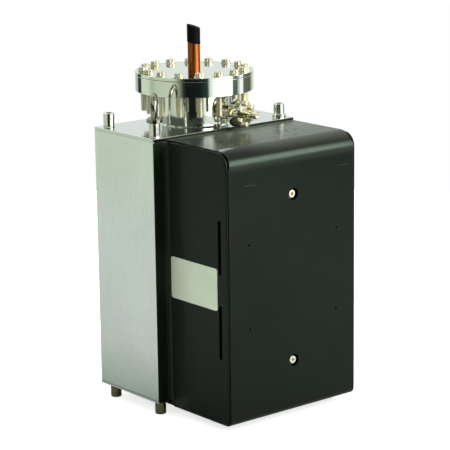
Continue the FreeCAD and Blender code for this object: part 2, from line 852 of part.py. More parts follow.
def rear_flange():
    """Upright flange that bends out of the left panel and lies on the vessel."""
    bend_start = front_y - rear_flange_bend - cover_sheet
    centre_x = cover_left - rear_flange_bend
    left = -vessel_width / 2
    outer_radius = rear_flange_bend + cover_sheet
    half = math.sqrt(0.5)
    z = rear_flange_bottom
    edges = [
        Part.makeLine(point(left, front_y, z), point(centre_x, front_y, z)),
        Part.Arc(
            point(centre_x, front_y, z),
            point(centre_x + outer_radius * half, bend_start + outer_radius * half, z),
            point(centre_x + outer_radius, bend_start, z),
        ).toShape(),
        Part.makeLine(point(centre_x + outer_radius, bend_start, z), point(cover_left, bend_start, z)),
        Part.Arc(
            point(cover_left, bend_start, z),
            point(centre_x + rear_flange_bend * half, bend_start + rear_flange_bend * half, z),
            point(centre_x, bend_start + rear_flange_bend, z),
        ).toShape(),
        Part.makeLine(
            point(centre_x, bend_start + rear_flange_bend, z), point(left, front_y - cover_sheet, z)
        ),
        Part.makeLine(point(left, front_y - cover_sheet, z), point(left, front_y, z)),
    ]
    return Part.Face(Part.Wire(edges)).extrude(UP * (cover_top - cover_sheet - z))


def left_tail():
    """The foot of the left panel, which runs on a little way below the vessel."""
    top = vessel_bottom - left_tail_top_gap
    rear = front_y + left_tail_length
    form = tray_form(0, -1, rear).cut(tray_form(cover_sheet, -1, rear + 1))
    start = front_y - rear_flange_bend - cover_sheet
    reach = (cover_left - 1, cover_left + tray_lip + 1)
    return form.common(block(reach, (start, rear), (cover_bottom, top)))


def cover_side_left():
    bend_start = front_y - rear_flange_bend - cover_sheet
    tray = tray_form(0, -1, front_y + 1).cut(tray_form(cover_sheet, -1, front_y + 2))
    room = block((cover_left, cover_right), (cover_front, bend_start), (cover_bottom, cover_top))
    tray = tray.common(room)
    return tray.fuse([rear_flange(), left_tail()]).removeSplitter().cut(side_slots(-1) + [lip_notch(-1)])


def rating_plate():
    """A blank plate on the left panel."""
    length, height = rating_plate_size
    rear = front_y - rating_plate_rear_gap
    z_range = (cover_mid_height - height / 2, cover_mid_height + height / 2)
    plate = block((cover_left - rating_plate_thickness, cover_left), (rear - length, rear), z_range)
    corner_edges = [edge for edge in plate.Edges if abs(edge.tangentAt(0).x) > 0.9]
    return plate.makeFillet(rating_plate_corner, corner_edges)


# Magnets and yoke
def magnet_column(inner, outer):
    """Square blocks, one on the other, between two distances from the middle."""
    height = (magnet_top - magnet_bottom) / magnet_blocks
    x_range = (cover_middle + inner, cover_middle + outer)
    blocks = []
    for index in range(magnet_blocks):
        bottom = magnet_bottom + index * height
        blocks.append(block(x_range, (magnet_front, magnet_rear), (bottom, bottom + height)))
    return blocks


def middle_magnet():
    """The middle column, parted where the two standoffs pass through it."""
    room = standoff_diameter / 2 + standoff_clearance
    low, high = access_heights
    spans = ((magnet_bottom, low - room), (low + room, high - room), (high + room, magnet_top))
    x_range = (cover_middle - magnet_width / 2, cover_middle + magnet_width / 2)
    return [block(x_range, (magnet_front, magnet_rear), span) for span in spans]


def screw_hole(x, z, diameter, start, end):
    return rod(diameter, point(x, start, z), -FORWARD, end - start)


def clamp_screw_places():
    return [(cover_middle, z) for z in access_heights]


def yoke_screw_places(side):
    x = cover_middle + side * (yoke_half - yoke_side_thickness / 2)
    middle = (magnet_bottom + magnet_top) / 2
    return [(x, z) for z in (magnet_bottom + yoke_screw_inset, middle, magnet_top - yoke_screw_inset)]


def magnet_spacer():
    """A bar that is not magnetic, between the middle column and the front yoke."""
    x_range = (cover_middle - magnet_width / 2, cover_middle + magnet_width / 2)
    bar = block(x_range, (yoke_front_rear, magnet_front), (magnet_bottom, magnet_top))
    hole = standoff_diameter + 2 * standoff_clearance
    return bar.cut([screw_hole(x, z, hole, yoke_front_rear, magnet_front) for x, z in clamp_screw_places()])


def yoke_side(side):
    """A side plate with tapped holes in its front edge."""
    x_range = (cover_middle + side * (yoke_half - yoke_side_thickness), cover_middle + side * yoke_half)
    plate = block(x_range, (yoke_front_rear, magnet_rear), (magnet_bottom, magnet_top))
    hole = screw_diameter + 2 * fit_clearance
    end = yoke_front_rear + screw_grip + fit_clearance
    return plate.cut([screw_hole(x, z, hole, yoke_front_rear, end) for x, z in yoke_screw_places(side)])


def yoke_front():
    """The front plate, with clearance holes for the yoke and clamp screws."""
    x_range = (cover_middle - yoke_half, cover_middle + yoke_half)
    plate = block(x_range, (yoke_front_face, yoke_front_rear), (magnet_bottom, magnet_top))
    places = yoke_screw_places(-1) + yoke_screw_places(1) + clamp_screw_places()
    hole = screw_diameter + 2 * screw_hole_clearance
    return plate.cut([screw_hole(x, z, hole, yoke_front_face, yoke_front_rear) for x, z in places])


def yoke_base():
    """The plate under the yoke and the magnets."""
    x_range = (cover_middle - yoke_half, cover_middle + yoke_half)
    z_range = (magnet_bottom - yoke_base_thickness, magnet_bottom)
    return block(x_range, (yoke_front_face, magnet_rear), z_range)


def socket_screw(x, z):
    """A socket-head screw whose head lies on the front of the yoke."""
    length = yoke_front_thickness + screw_grip
    head_radius = screw_head_diameter / 2
    edge = head_radius / 10
    profile = [
        (0, 0), (screw_diameter / 2, 0), (screw_diameter / 2, length), (head_radius, length),
        (head_radius, length + screw_head_height - edge), (head_radius - edge, length + screw_head_height),
        (0, length + screw_head_height),
    ]
    screw = lathe(profile, point(x, yoke_front_rear + screw_grip, z), FORWARD)
    socket_floor = point(x, yoke_front_face - screw_head_height + screw_socket_depth, z)
    hexagon = regular_points(socket_floor, screw_socket_width / math.sqrt(3), 6, RIGHT, UP)
    return screw.cut(prism(hexagon, FORWARD * screw_head_height))


def yoke_screws():
    return [socket_screw(x, z) for x, z in yoke_screw_places(-1) + yoke_screw_places(1)]


def clamp_screws():
    return [socket_screw(x, z) for x, z in clamp_screw_places()]


def clamp_standoffs():
    """Tapped rods, welded to the vessel, that the clamp screws pull the yoke to."""
    standoffs = []
    hole = screw_diameter + 2 * fit_clearance
    hole_end = yoke_front_rear + screw_grip + 1
    for x, z in clamp_screw_places():
        bar = rod(standoff_diameter, point(x, front_y, z), FORWARD, front_y - yoke_front_rear)
        standoffs.append(bar.cut(screw_hole(x, z, hole, yoke_front_rear, hole_end)))
    return standoffs


def magnet_foot(x, y):
    """A long foot under the yoke's base; it stands on the floor like the others."""
    height = magnet_bottom - yoke_base_thickness
    return tapped_stub(x, y, height, -UP, height, magnet_foot_diameter)


# Pump elements
def cell_centres():
    """Rows and columns of cells; every second column is raised by half a cell."""
    first_y = anode_mid_y - (column_count - 1) * column_pitch / 2
    first_z = anode_bottom + anode_border + row_pitch / 2
    centres = []
    for column in range(column_count):
        raised = row_pitch / 2 if column % 2 else 0
        y = first_y + column * column_pitch
        centres += [(y, first_z + raised + row * row_pitch) for row in range(row_count)]
    return centres


def anode(centre):
    """A honeycomb of open cells, whose axes run from magnet to magnet."""
    y_range = (anode_mid_y - anode_depth / 2, anode_mid_y + anode_depth / 2)
    body = block((centre - anode_half, centre + anode_half), y_range, (anode_bottom, anode_top))
    radius = (cell_pitch - cell_wall) / math.sqrt(3)
    start = centre - anode_half - 1
    length = 2 * anode_half + 2
    across = point(0, 1, 0)
    cells = []
    for y, z in cell_centres():
        cells.append(prism(regular_points(point(start, y, z), radius, 6, across, UP), RIGHT * length))
    return body.cut(cells)


def cathodes(centre):
    plates = []
    for side in (-1, 1):
        x_range = (centre + side * cathode_inner, centre + side * cathode_outer)
        z_range = (frame_bottom + cathode_end_gap, frame_top - cathode_end_gap)
        plates.append(block(x_range, (cathode_front, cathode_rear), z_range))
    return plates


def element_frames(centre):
    """Two channels, below and above, that hold a pair of cathodes apart."""
    depth = (cathode_front, cathode_rear)
    sheet = element_frame_sheet
    frames = []
    for level, way in ((frame_bottom, 1), (frame_top, -1)):
        end = level + way * element_frame_leg
        legs = block((centre - cathode_inner, centre + cathode_inner), depth, (level, end))
        room = block(
            (centre - cathode_inner + sheet, centre + cathode_inner - sheet),
            (cathode_front - 1, cathode_rear + 1), (level + way * sheet, end + way),
        )
        frames.append(legs.cut(room))
    return frames


def ceramic_stand(x, y, bottom, top):
    """A grooved ceramic rod between the frame and the end of the anode."""
    radius = ceramic_diameter / 2
    third = (top - bottom) / 3
    waist = radius - ceramic_groove
    profile = [
        (0, 0), (radius, 0), (radius, third), (waist, third), (waist, 2 * third),
        (radius, 2 * third), (radius, 3 * third), (0, 3 * third),
    ]
    return lathe(profile, point(x, y, bottom))


def ceramic_stands(centre):
    low = (frame_bottom + element_frame_sheet, anode_bottom)
    high = (anode_top, frame_top - element_frame_sheet)
    places = [anode_mid_y + side * ceramic_spacing / 2 for side in (-1, 1)]
    return [ceramic_stand(centre, y, *span) for y in places for span in (low, high)]


def high_voltage_bus():
    """A bent rod from the feedthrough to a strip with a tab on each anode."""
    strip_rear = front_y + vessel_wall + bus_strip_wall_gap
    strip_front = strip_rear - bus_strip_thickness
    low = vessel_top - bus_drop
    end = -strip_rear / math.cos(math.radians(feedthrough_azimuth + 90))
    half = math.sqrt(0.5)
    bend = bus_bend
    high_corner = feedthrough_height - bend
    pin_end = bus_point(pin_inner_reach, feedthrough_height)
    edges = [
        Part.makeLine(pin_end, bus_point(bus_radius + bend, feedthrough_height)),
        Part.Arc(
            bus_point(bus_radius + bend, feedthrough_height),
            bus_point(bus_radius + bend * (1 - half), high_corner + bend * half),
            bus_point(bus_radius, high_corner),
        ).toShape(),
        Part.makeLine(bus_point(bus_radius, high_corner), bus_point(bus_radius, low + bend)),
        Part.Arc(
            bus_point(bus_radius, low + bend),
            bus_point(bus_radius + bend * (1 - half), low + bend * (1 - half)),
            bus_point(bus_radius + bend, low),
        ).toShape(),
        Part.makeLine(bus_point(bus_radius + bend, low), bus_point(end, low)),
    ]
    path = Part.Wire(edges)
    start = Part.makeCircle(bus_diameter / 2, pin_end, feedthrough_axis())
    wire = path.makePipeShell([Part.Wire(start)], True, False)
    wire = wire.cut(block((-vessel_width, vessel_width), (strip_rear, 2 * front_y), (low - 5, low + 5)))
    first = pocket_centres["left"] - bus_tab_width / 2
    last = pocket_centres["right"] + bus_tab_width / 2
    z_range = (low - bus_strip_height / 2, low + bus_strip_height / 2)
    strip = block((first, last), (strip_front, strip_rear), z_range)
    tabs = []
    for centre in pocket_centres.values():
        x_range = (centre - bus_tab_width / 2, centre + bus_tab_width / 2)
        tab_height = (low - bus_strip_thickness / 2, low + bus_strip_thickness / 2)
        tabs.append(block(x_range, (anode_rear, strip_front), tab_height))
    return wire.fuse([strip] + tabs)


def bus_point(reach, height):
    return polar(reach, feedthrough_azimuth, height)


def main():
    os.makedirs("parts", exist_ok=True)

    save("vessel_left_wall", vessel_side_wall(-1))
    save("vessel_right_wall", vessel_side_wall(1))
    save("vessel_rear_wall", vessel_rear_wall())
    save("vessel_front_wall", vessel_front_wall())
    save("vessel_top_plate", vessel_top_plate())
    save("vessel_bottom_plate", vessel_bottom_plate())
    for name, (x, y) in corners.items():
        save("post_" + name, post(x, y))
        save("foot_" + name, foot(x, y))
    save("post_collar", post_collar())
    save("lifting_eyebolt", lifting_eyebolt())

    save("neck_tube", neck_tube())
    save("inlet_flange", inlet_flange())
    save("inlet_gasket", inlet_gasket())
    save("shipping_plate", shipping_plate())
    save("flange_bolts", *[flange_bolt(angle, flange_bolt_length(angle)) for angle in bolt_angles()])
    save("pinch_off_tube", pinch_off_tube())
    save("pinch_off_cap", pinch_off_cap())

    save("feedthrough_nipple", feedthrough_nipple())
    save("nipple_flange", nipple_flange())
    save("feedthrough_gasket", feedthrough_gasket())
    save("feedthrough_flange", feedthrough_flange())
    save("feedthrough_bolts", *feedthrough_bolts())
    save("connector_shell", connector_shell())
    save("connector_insulator", connector_insulator())
    save("connector_pin", connector_pin())

    save("cover_wrap", cover_wrap())
    save("cover_side_left", cover_side_left())
    save("cover_side_right", cover_side_right())
    save("rating_plate", rating_plate())

    save("magnet_left", *magnet_column(-side_magnet_inner - magnet_width, -side_magnet_inner))
    save("magnet_middle", *middle_magnet())
    save("magnet_spacer", magnet_spacer())
    save("magnet_right", *magnet_column(side_magnet_inner, side_magnet_inner + magnet_width))
    save("yoke_left", yoke_side(-1))
    save("yoke_right", yoke_side(1))
    save("yoke_front", yoke_front())
    save("yoke_base", yoke_base())
    save("yoke_screws", *yoke_screws())
    save("clamp_standoffs", *clamp_standoffs())
    save("clamp_screws", *clamp_screws())
    for name, (x, y) in magnet_foot_places().items():
        save("magnet_foot_" + name, magnet_foot(x, y))

    for name, centre in pocket_centres.items():
        save("pocket_" + name, pocket(centre))
        save("anode_" + name, anode(centre))
        save("cathodes_" + name, *cathodes(centre))
        save("element_frames_" + name, *element_frames(centre))
        save("ceramic_stands_" + name, *ceramic_stands(centre))
    save("high_voltage_bus", high_voltage_bus())


main()
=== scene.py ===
"""Looks of a one-sided sputter ion pump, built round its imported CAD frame.

Every sub-assembly of the pump is a class: it dresses the CAD nodes it owns and builds the
pieces that need more detail than the CAD carries. Sizes of pieces are in millimetres, and
places in finishes and in the studio are in metres. Both are in the CAD frame: X to the
right, -Y to the front, Z up, origin on the floor under the neck.
"""
import logging
import math
from collections.abc import Callable, Iterable, Mapping, Sequence
from dataclasses import dataclass
from enum import Enum

import bmesh
import bpy
from mathutils import Matrix, Vector, noise


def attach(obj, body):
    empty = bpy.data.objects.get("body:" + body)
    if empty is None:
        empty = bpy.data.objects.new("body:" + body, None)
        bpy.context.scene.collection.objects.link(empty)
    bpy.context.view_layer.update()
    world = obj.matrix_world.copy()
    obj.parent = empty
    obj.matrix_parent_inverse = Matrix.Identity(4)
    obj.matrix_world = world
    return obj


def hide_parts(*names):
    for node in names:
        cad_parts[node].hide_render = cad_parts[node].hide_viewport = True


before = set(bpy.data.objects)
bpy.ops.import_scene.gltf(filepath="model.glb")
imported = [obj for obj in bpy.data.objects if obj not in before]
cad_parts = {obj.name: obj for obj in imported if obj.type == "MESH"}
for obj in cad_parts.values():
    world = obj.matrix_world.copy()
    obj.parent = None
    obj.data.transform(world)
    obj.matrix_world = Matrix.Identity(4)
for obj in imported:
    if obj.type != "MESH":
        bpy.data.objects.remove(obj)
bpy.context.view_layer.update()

LOG = logging.getLogger("ion_pump")
MM = 0.001
UP = Vector((0.0, 0.0, 1.0))
Colour = tuple[float, float, float]
Pair = tuple[float, float]
Stop = tuple[float, Colour]
Measure = float | Callable[[float], float]
Material = bpy.types.Material
Socket = bpy.types.NodeSocket
Inputs = Mapping[str | int, object]
NOISE_SPAN: Pair = (0.3, 0.7)  # where most of a noise's values lie


class Body(Enum):
    """The bodies that new pieces ride on."""

    BASE = "base"
    CAP = "cap"


class Slot(Enum):
    """Names of material slots; the pieces made here do not take them."""

    SATIN = "satin_stainless"
    POLISHED = "polished_stainless"
    STEEL = "bright_steel"
    CAP = "cap_rubber"


# Node trees
class Tree:
    """A node tree, with short calls for the nodes that finishes and surroundings share."""

    def __init__(self, tree: bpy.types.NodeTree) -> None:
        """Takes the tree that it adds to."""
        self.tree = tree

    def feed(self, node: bpy.types.Node, inputs: Inputs) -> None:
        """Gives inputs of a node their links and values.

        Args:
            node: The node.
            inputs: A socket to link from, or a value, for each input.
        """
        for key, value in inputs.items():
            if isinstance(value, Socket):
                self.tree.links.new(value, node.inputs[key])
            else:
                node.inputs[key].default_value = value

    def add(self, kind: str, inputs: Inputs | None = None, **settings: object) -> bpy.types.Node:
        """Adds a node.

        Args:
            kind: Its type, without the ShaderNode that stands before each.
            inputs: A socket to link from, or a value, for each input.
            settings: Its properties.

        Returns:
            The node.
        """
        made = self.tree.nodes.new(f"ShaderNode{kind}")
        for key, value in settings.items():
            setattr(made, key, value)
        self.feed(made, inputs or {})
        return made

    def split(self, vector: Socket) -> bpy.types.NodeOutputs:
        """Gives the X, Y and Z of a vector."""
        return self.add("SeparateXYZ", {0: vector}).outputs

    def reckon(self, operation: str, first: Socket, second: Socket | float) -> Socket:
        """Works out one value from two."""
        return self.add("Math", {0: first, 1: second}, operation=operation).outputs[0]

    def times(self, first: Socket, second: Socket | float) -> Socket:
        """Multiplies two values."""
        return self.reckon("MULTIPLY", first, second)

    def span(self, value: Socket, old: Pair, new: Pair = (0.0, 1.0), easing: str = "LINEAR") -> Socket:
        """Maps a value from one range to another, clamped.

        Args:
            value: The value to map.
            old: The range that it comes in.
            new: The range that it goes out in.
            easing: How it passes from one end to the other.

        Returns:
            The socket with the mapped value.
        """
        limits = dict(zip(("From Min", "From Max", "To Min", "To Max"), (*old, *new)))
        made = self.add("MapRange", {"Value": value, **limits}, interpolation_type=easing)
        return made.outputs["Result"]

    def ramp(self, value: Socket, stops: Sequence[Stop]) -> Socket:
        """Turns a value into a colour.

        Args:
            value: A value from 0 to 1.
            stops: Places and their colours, in order.

        Returns:
            The socket with the colour.
        """
        made = self.add("ValToRGB", {"Fac": value})
        elements = made.color_ramp.elements
        while len(elements) > 1:
            elements.remove(elements[-1])
        elements[0].position = stops[0][0]
        elements[0].color = (*stops[0][1], 1.0)
        for position, colour in stops[1:]:
            elements.new(position).color = (*colour, 1.0)
        return made.outputs["Color"]

    def mottle(self, value: Socket, colour: Colour, factors: Pair, places: Pair = NOISE_SPAN) -> Socket:
        """Varies a colour between two shades of it as a value passes between two places."""
        return self.ramp(value, [(place, shade(colour, factor)) for place, factor in zip(places, factors)])

    def blend(self, factor: Socket, first: Socket, second: Socket | Colour) -> Socket:
        """Lays a second colour over the first by a factor."""
        over = second if isinstance(second, Socket) else (*second, 1.0)
        return self.add("Mix", {0: factor, 6: first, 7: over}, data_type="RGBA").outputs[2]


class Graph(Tree):
    """A material's node tree round one principled shader."""

    def __init__(self, name: str) -> None:
        """Starts the material.

        Args:
            name: Name of the material.
        """
        self.material = bpy.data.materials.new(name)
        self.material.use_nodes = True
        super().__init__(self.material.node_tree)
        self.shader = self.tree.nodes["Principled BSDF"]

    def fix(self, **values: object) -> None:
        """Sets inputs of the shader; underscores in the names stand for spaces."""
        self.feed(self.shader, {key.replace("_", " "): value for key, value in values.items()})

    def finish(self, colour: Socket, roughness: Socket, normal: Socket, **constants: object) -> Material:
        """Completes the material.

        Args:
            colour: Its base colour.
            roughness: Its roughness.
            normal: Its normal.
            constants: What is the same all over the surface, as for fix.

        Returns:
            The material.
        """
        self.feed(self.shader, {"Base Color": colour, "Roughness": roughness, "Normal": normal})
        self.fix(**constants)
        return self.material

    def here(self) -> Socket:
        """Gives the place on the piece in metres."""
        return self.add("TexCoord").outputs["Object"]

    def part(self, axis: str) -> Socket:
        """Gives one coordinate of the place on the piece in metres."""
        return self.split(self.here())[axis]

    def mask(self, axis: str, start: float, end: float) -> Socket:
        """Gives 0 before a stretch of an axis and 1 past it, whichever way it runs."""
        return self.span(self.part(axis), (start, end))

    def window(self, axis: str, outer: Pair, inner: Pair) -> Socket:
        """Gives 1 between the inner limits on an axis, and 0 outside the outer ones."""
        return self.times(self.mask(axis, outer[0], inner[0]), self.mask(axis, outer[1], inner[1]))

    def place(self, stretch: Colour = (1.0, 1.0, 1.0), turn: Colour = (0.0, 0.0, 0.0)) -> Socket:
        """Gives the place on the piece in metres, turned, then stretched along the axes.

        Args:
            stretch: Factor on each axis; a small factor draws the texture out along it.
            turn: Degrees about each axis.

        Returns:
            The socket with the stretched place.
        """
        source = self.here()
        if any(turn):
            angles = [math.radians(degrees) for degrees in turn]
            source = self.add("Mapping", {"Vector": source, "Rotation": angles}).outputs[0]
        return self.add("Mapping", {"Vector": source, "Scale": stretch}).outputs[0]

    def lathe_place(self, around: float) -> Socket:
        """Gives distance from the neck's axis and height, so that noise falls in turned rings.

        Args:
            around: How much the rings change on their way round.

        Returns:
            The socket with (distance, change, height).
        """
        here = self.split(self.here())
        flat = self.add("CombineXYZ", {"X": here["X"], "Y": here["Y"]}).outputs[0]
        reach = self.add("VectorMath", {0: flat}, operation="LENGTH").outputs["Value"]
        change = self.times(here["X"], around)
        return self.add("CombineXYZ", {"X": reach, "Y": change, "Z": here["Z"]}).outputs[0]

    def noise(self, vector: Socket, scale: float, detail: float = 3.0) -> Socket:
        """Adds fractal noise.

        Args:
            vector: The place to read it at.
            scale: Cells per metre.
            detail: Octaves.

        Returns:
            The socket with a value round 0.5.
        """
        made = self.add("TexNoise", {"Vector": vector, "Scale": scale, "Detail": detail})
        return made.outputs["Fac"]

    def bump(self, height: Socket, depth_mm: float, strength: float, under: Socket | None = None) -> Socket:
        """Tilts the surface by a height.

        Args:
            height: The height, 0 to 1.
            depth_mm: What a height of 1 stands for.
            strength: Share of the tilt that is used.
            under: A bump that this one lies on.

        Returns:
            The socket with the normal.
        """
        inputs = {"Height": height, "Distance": depth_mm * MM, "Strength": strength}
        if under is not None:
            inputs["Normal"] = under
        return self.add("Bump", inputs).outputs["Normal"]

    def edge_mask(self, radius_mm: float) -> Socket:
        """Marks sharp edges.

        Args:
            radius_mm: How far from the edge the mark reaches.

        Returns:
            The socket with 1 on sharp edges and 0 on flats.
        """
        rounded = self.add("Bevel", {"Radius": radius_mm * MM}, samples=4).outputs["Normal"]
        sharp = self.add("NewGeometry").outputs["Normal"]
        dot = self.add("VectorMath", {0: rounded, 1: sharp}, operation="DOT_PRODUCT")
        return self.span(dot.outputs["Value"], (0.995, 0.90))


def shade(colour: Colour, factor: float) -> Colour:
    """Makes a colour darker or lighter."""
    return tuple(min(1.0, part * factor) for part in colour)


# Finishes
@dataclass(frozen=True)
class SatinStainless:
    """Ground and electropolished stainless sheet, with a faint upright grain.

    It is painted darker near the foot, as shade. The front wall stands behind the cover and is
    painted dark, as shade, but for its left edge.
    """

    name: str = "satin_ground_stainless"
    colour: Colour = (0.72, 0.775, 0.745)
    painted_foot_shade: Colour = (0.46, 0.52, 0.47)
    painted_cover_shade: Colour = (0.06, 0.06, 0.05)
    roughness: Pair = (0.24, 0.29)
    foot_shade_down: Pair = (0.085, 0.018)
    front_wall: Pair = (-0.0603, -0.0606)
    past_left_edge: Pair = (-0.1140, -0.1135)

    def build(self) -> Material:
        """Makes the material.

        Returns:
            The material.
        """
        graph = Graph(self.name)
        grain = graph.noise(graph.place((1.0, 1.0, 0.04)), 1500.0)
        tone = graph.mottle(graph.noise(graph.place(), 9.0, 2.0), self.colour, (0.96, 1.03), (0.35, 0.65))
        # painted shade: darker towards the foot
        tone = graph.blend(graph.mask("Z", *self.foot_shade_down), tone, self.painted_foot_shade)
        # painted shade: the front wall behind the cover is dark, but for its left edge
        front = graph.times(graph.mask("Y", *self.front_wall), graph.mask("X", *self.past_left_edge))
        tone = graph.blend(front, tone, self.painted_cover_shade)
        gloss = graph.span(grain, NOISE_SPAN, self.roughness)
        return graph.finish(tone, gloss, graph.bump(grain, 0.002, 0.15), Metallic=1.0)


@dataclass(frozen=True)
class TurnedStainless:
    """Lathe-turned and polished stainless, with rings too fine to count.

    A dark edge goes on the front edge of the top plate, which the cover shades. Drag draws
    the highlights out along the turning.
    """

    name: str = "turned_polished_stainless"
    colour: Colour = (0.74, 0.77, 0.72)
    roughness: Pair = (0.035, 0.11)
    ring_depth_mm: float = 0.0016
    dark_edge: Colour | None = None
    drag: float = 0.0
    edge_down: Pair = (0.3579, 0.3576)
    edge_ahead: Pair = (-0.0605, -0.0608)

    def build(self) -> Material:
        """Makes the material.

        Returns:
            The material.
        """
        graph = Graph(self.name)
        rings = graph.noise(graph.lathe_place(2.0), 1500.0)
        smears = graph.noise(graph.place(), 60.0)
        tone = graph.mottle(smears, self.colour, (0.97, 1.0))
        if self.dark_edge is not None:
            edge = graph.times(graph.mask("Z", *self.edge_down), graph.mask("Y", *self.edge_ahead))
            tone = graph.blend(edge, tone, self.dark_edge)
        if self.drag > 0:
            around = graph.add("Tangent", direction_type="RADIAL", axis="Z")
            graph.fix(Tangent=around.outputs[0])
        gloss = graph.span(smears, (0.35, 0.7), self.roughness)
        turning = graph.bump(rings, self.ring_depth_mm, 0.5)
        return graph.finish(
            tone, gloss, turning, Metallic=1.0, Anisotropic=self.drag, Anisotropic_Rotation=0.25
        )


@dataclass(frozen=True)
class MachinedSteel:
    """Bright machined or plated steel, lightly smeared by handling."""

    name: str = "bright_machined_steel"
    colour: Colour = (0.74, 0.74, 0.68)
    roughness: Pair = (0.07, 0.18)

    def build(self) -> Material:
        """Makes the material.

        Returns:
            The material.
        """
        graph = Graph(self.name)
        smears = graph.noise(graph.place(), 240.0)
        scratches = graph.noise(graph.place((1.0, 1.0, 0.15)), 3200.0, 2.0)
        tone = graph.mottle(smears, self.colour, (0.92, 1.03))
        gloss = graph.span(smears, NOISE_SPAN, self.roughness)
        return graph.finish(tone, gloss, graph.bump(scratches, 0.003, 0.4), Metallic=1.0)


@dataclass(frozen=True)
class SoftCapVinyl:
    """Dipped black vinyl with the soft unevenness of its skin."""

    name: str = "black_dipped_vinyl"
    colour: Colour = (0.0032, 0.0033, 0.0029)
    roughness: Pair = (0.50, 0.64)

    def build(self) -> Material:
        """Makes the material.

        Returns:
            The material.
        """
        graph = Graph(self.name)
        skin = graph.noise(graph.place(), 420.0)
        pores = graph.noise(graph.place(), 2600.0, 2.0)
        tone = graph.mottle(skin, self.colour, (1.0, 1.5), (0.3, 0.75))
        gloss = graph.span(skin, NOISE_SPAN, self.roughness)
        uneven = graph.bump(pores, 0.02, 0.4, graph.bump(skin, 0.12, 0.6))
        return graph.finish(tone, gloss, uneven, IOR=1.2, Specular_IOR_Level=0.2)


@dataclass(frozen=True)
class DarkPaint:
    """Semi-gloss stoved paint on sheet, with a fine orange peel and rubbed edges.

    The flange beside the vessel is dull, and darker with painted shade. The top and its bend are
    lighter with a painted reflection, stronger near the vessel, and a few hair scratches cross the
    upper front. The sides can take painted shade towards the foot and painted light near the rear.
    """

    name: str = "dark_stoved_paint"
    colour: Colour = (0.0034, 0.0040, 0.0028)
    sheen: Colour = (0.66, 1.0, 0.75)
    flange_painted_shade: Colour = (0.0020, 0.0027, 0.0018)
    foot_shade: float = 1.0
    painted_rear_light: float = 1.0
    painted_top_reflection: Colour = (0.068, 0.077, 0.054)
    rubbed: Colour = (0.016, 0.020, 0.015)
    scratched: Colour = (0.034, 0.040, 0.032)
    roughness: Pair = (0.25, 0.29)
    dull_roughness: float = 0.60
    peel_mm: float = 0.004
    rubbed_mm: float = 0.8
    foot_down: Pair = (0.130, 0.020)
    rear_back: Pair = (-0.100, -0.082)
    flange_left: Pair = (-0.0980, -0.1020)
    reflection_up: Pair = (0.3440, 0.3510)
    reflection_right: Pair = (-0.055, -0.010)
    reflection_back: Pair = (-0.140, -0.080)
    faintest_reflection: float = 0.40
    scratched_outer: Pair = (0.300, 0.324)
    scratched_inner: Pair = (0.306, 0.318)
    scratched_ahead: Pair = (-0.165, -0.170)

    def build(self) -> Material:
        """Makes the material.

        Returns:
            The material.
        """
        graph = Graph(self.name)
        clouds = graph.noise(graph.place(), 14.0)
        tone = graph.mottle(clouds, self.colour, (0.9, 1.15))
        # painted shade: darker towards the foot
        tone = graph.blend(graph.mask("Z", *self.foot_down), tone, shade(self.colour, self.foot_shade))
        # painted light: a strip near the rear is lightened
        tone = graph.blend(graph.mask("Y", *self.rear_back), tone, shade(self.colour, self.painted_rear_light))
        # painted reflection: the top and its bend are lighter, more so near the vessel
        tone = graph.blend(self.top_reflection(graph), tone, self.painted_top_reflection)
        tone = graph.blend(self.scratches(graph), tone, self.scratched)
        chips = graph.span(graph.noise(graph.place(), 260.0, 4.0), (0.40, 0.62), (0.15, 1.0))
        tone = graph.blend(graph.times(graph.edge_mask(self.rubbed_mm), chips), tone, self.rubbed)
        flange = graph.mask("X", *self.flange_left)
        mean_roughness = sum(self.roughness) / 2
        dulling = graph.span(flange, (0.0, 1.0), (1.0, self.dull_roughness / mean_roughness))
        peel = graph.noise(graph.place(), 900.0, 2.0)
        return graph.finish(
            # painted shade: the flange beside the vessel is darker
            graph.blend(flange, tone, self.flange_painted_shade),
            graph.times(graph.span(clouds, NOISE_SPAN, self.roughness), dulling),
            graph.bump(peel, self.peel_mm, 0.5),
            Specular_IOR_Level=0.13,
            Specular_Tint=(*self.sheen, 1.0),
            Sheen_Weight=0.28,
            Sheen_Roughness=0.20,
            Sheen_Tint=(*self.sheen, 1.0),
        )

    def top_reflection(self, graph: Graph) -> Socket:
        """Gives how strong the painted reflection on the top is, from 0 to 1."""
        top = graph.times(graph.mask("Z", *self.reflection_up), graph.mask("X", *self.reflection_right))
        return graph.times(top, graph.span(graph.part("Y"), self.reflection_back, (self.faintest_reflection, 1.0)))

    def scratches(self, graph: Graph) -> Socket:
        """Gives nearly level hair scratches in a band across the front.

        Args:
            graph: The material's nodes.

        Returns:
            The socket with a value from 0 to 1.
        """
        hairs = graph.noise(graph.place((0.03, 1.0, 1.0), (0.0, -4.0, 0.0)), 620.0, 1.0)
        band = graph.window("Z", self.scratched_outer, self.scratched_inner)
        band = graph.times(graph.mask("Y", *self.scratched_ahead), band)
        return graph.times(graph.span(hairs, (0.70, 0.74)), band)


@dataclass(frozen=True)
class Grain:
    """A fractal grain: its cells per metre, its octaves and how far it is drawn out."""

    per_metre: float
    detail: float = 3.0
    stretch: Colour = (1.0, 1.0, 1.0)

    def lay(self, graph: Graph) -> Socket:
        """Adds the grain to a material."""
        return graph.noise(graph.place(self.stretch), self.per_metre, self.detail)


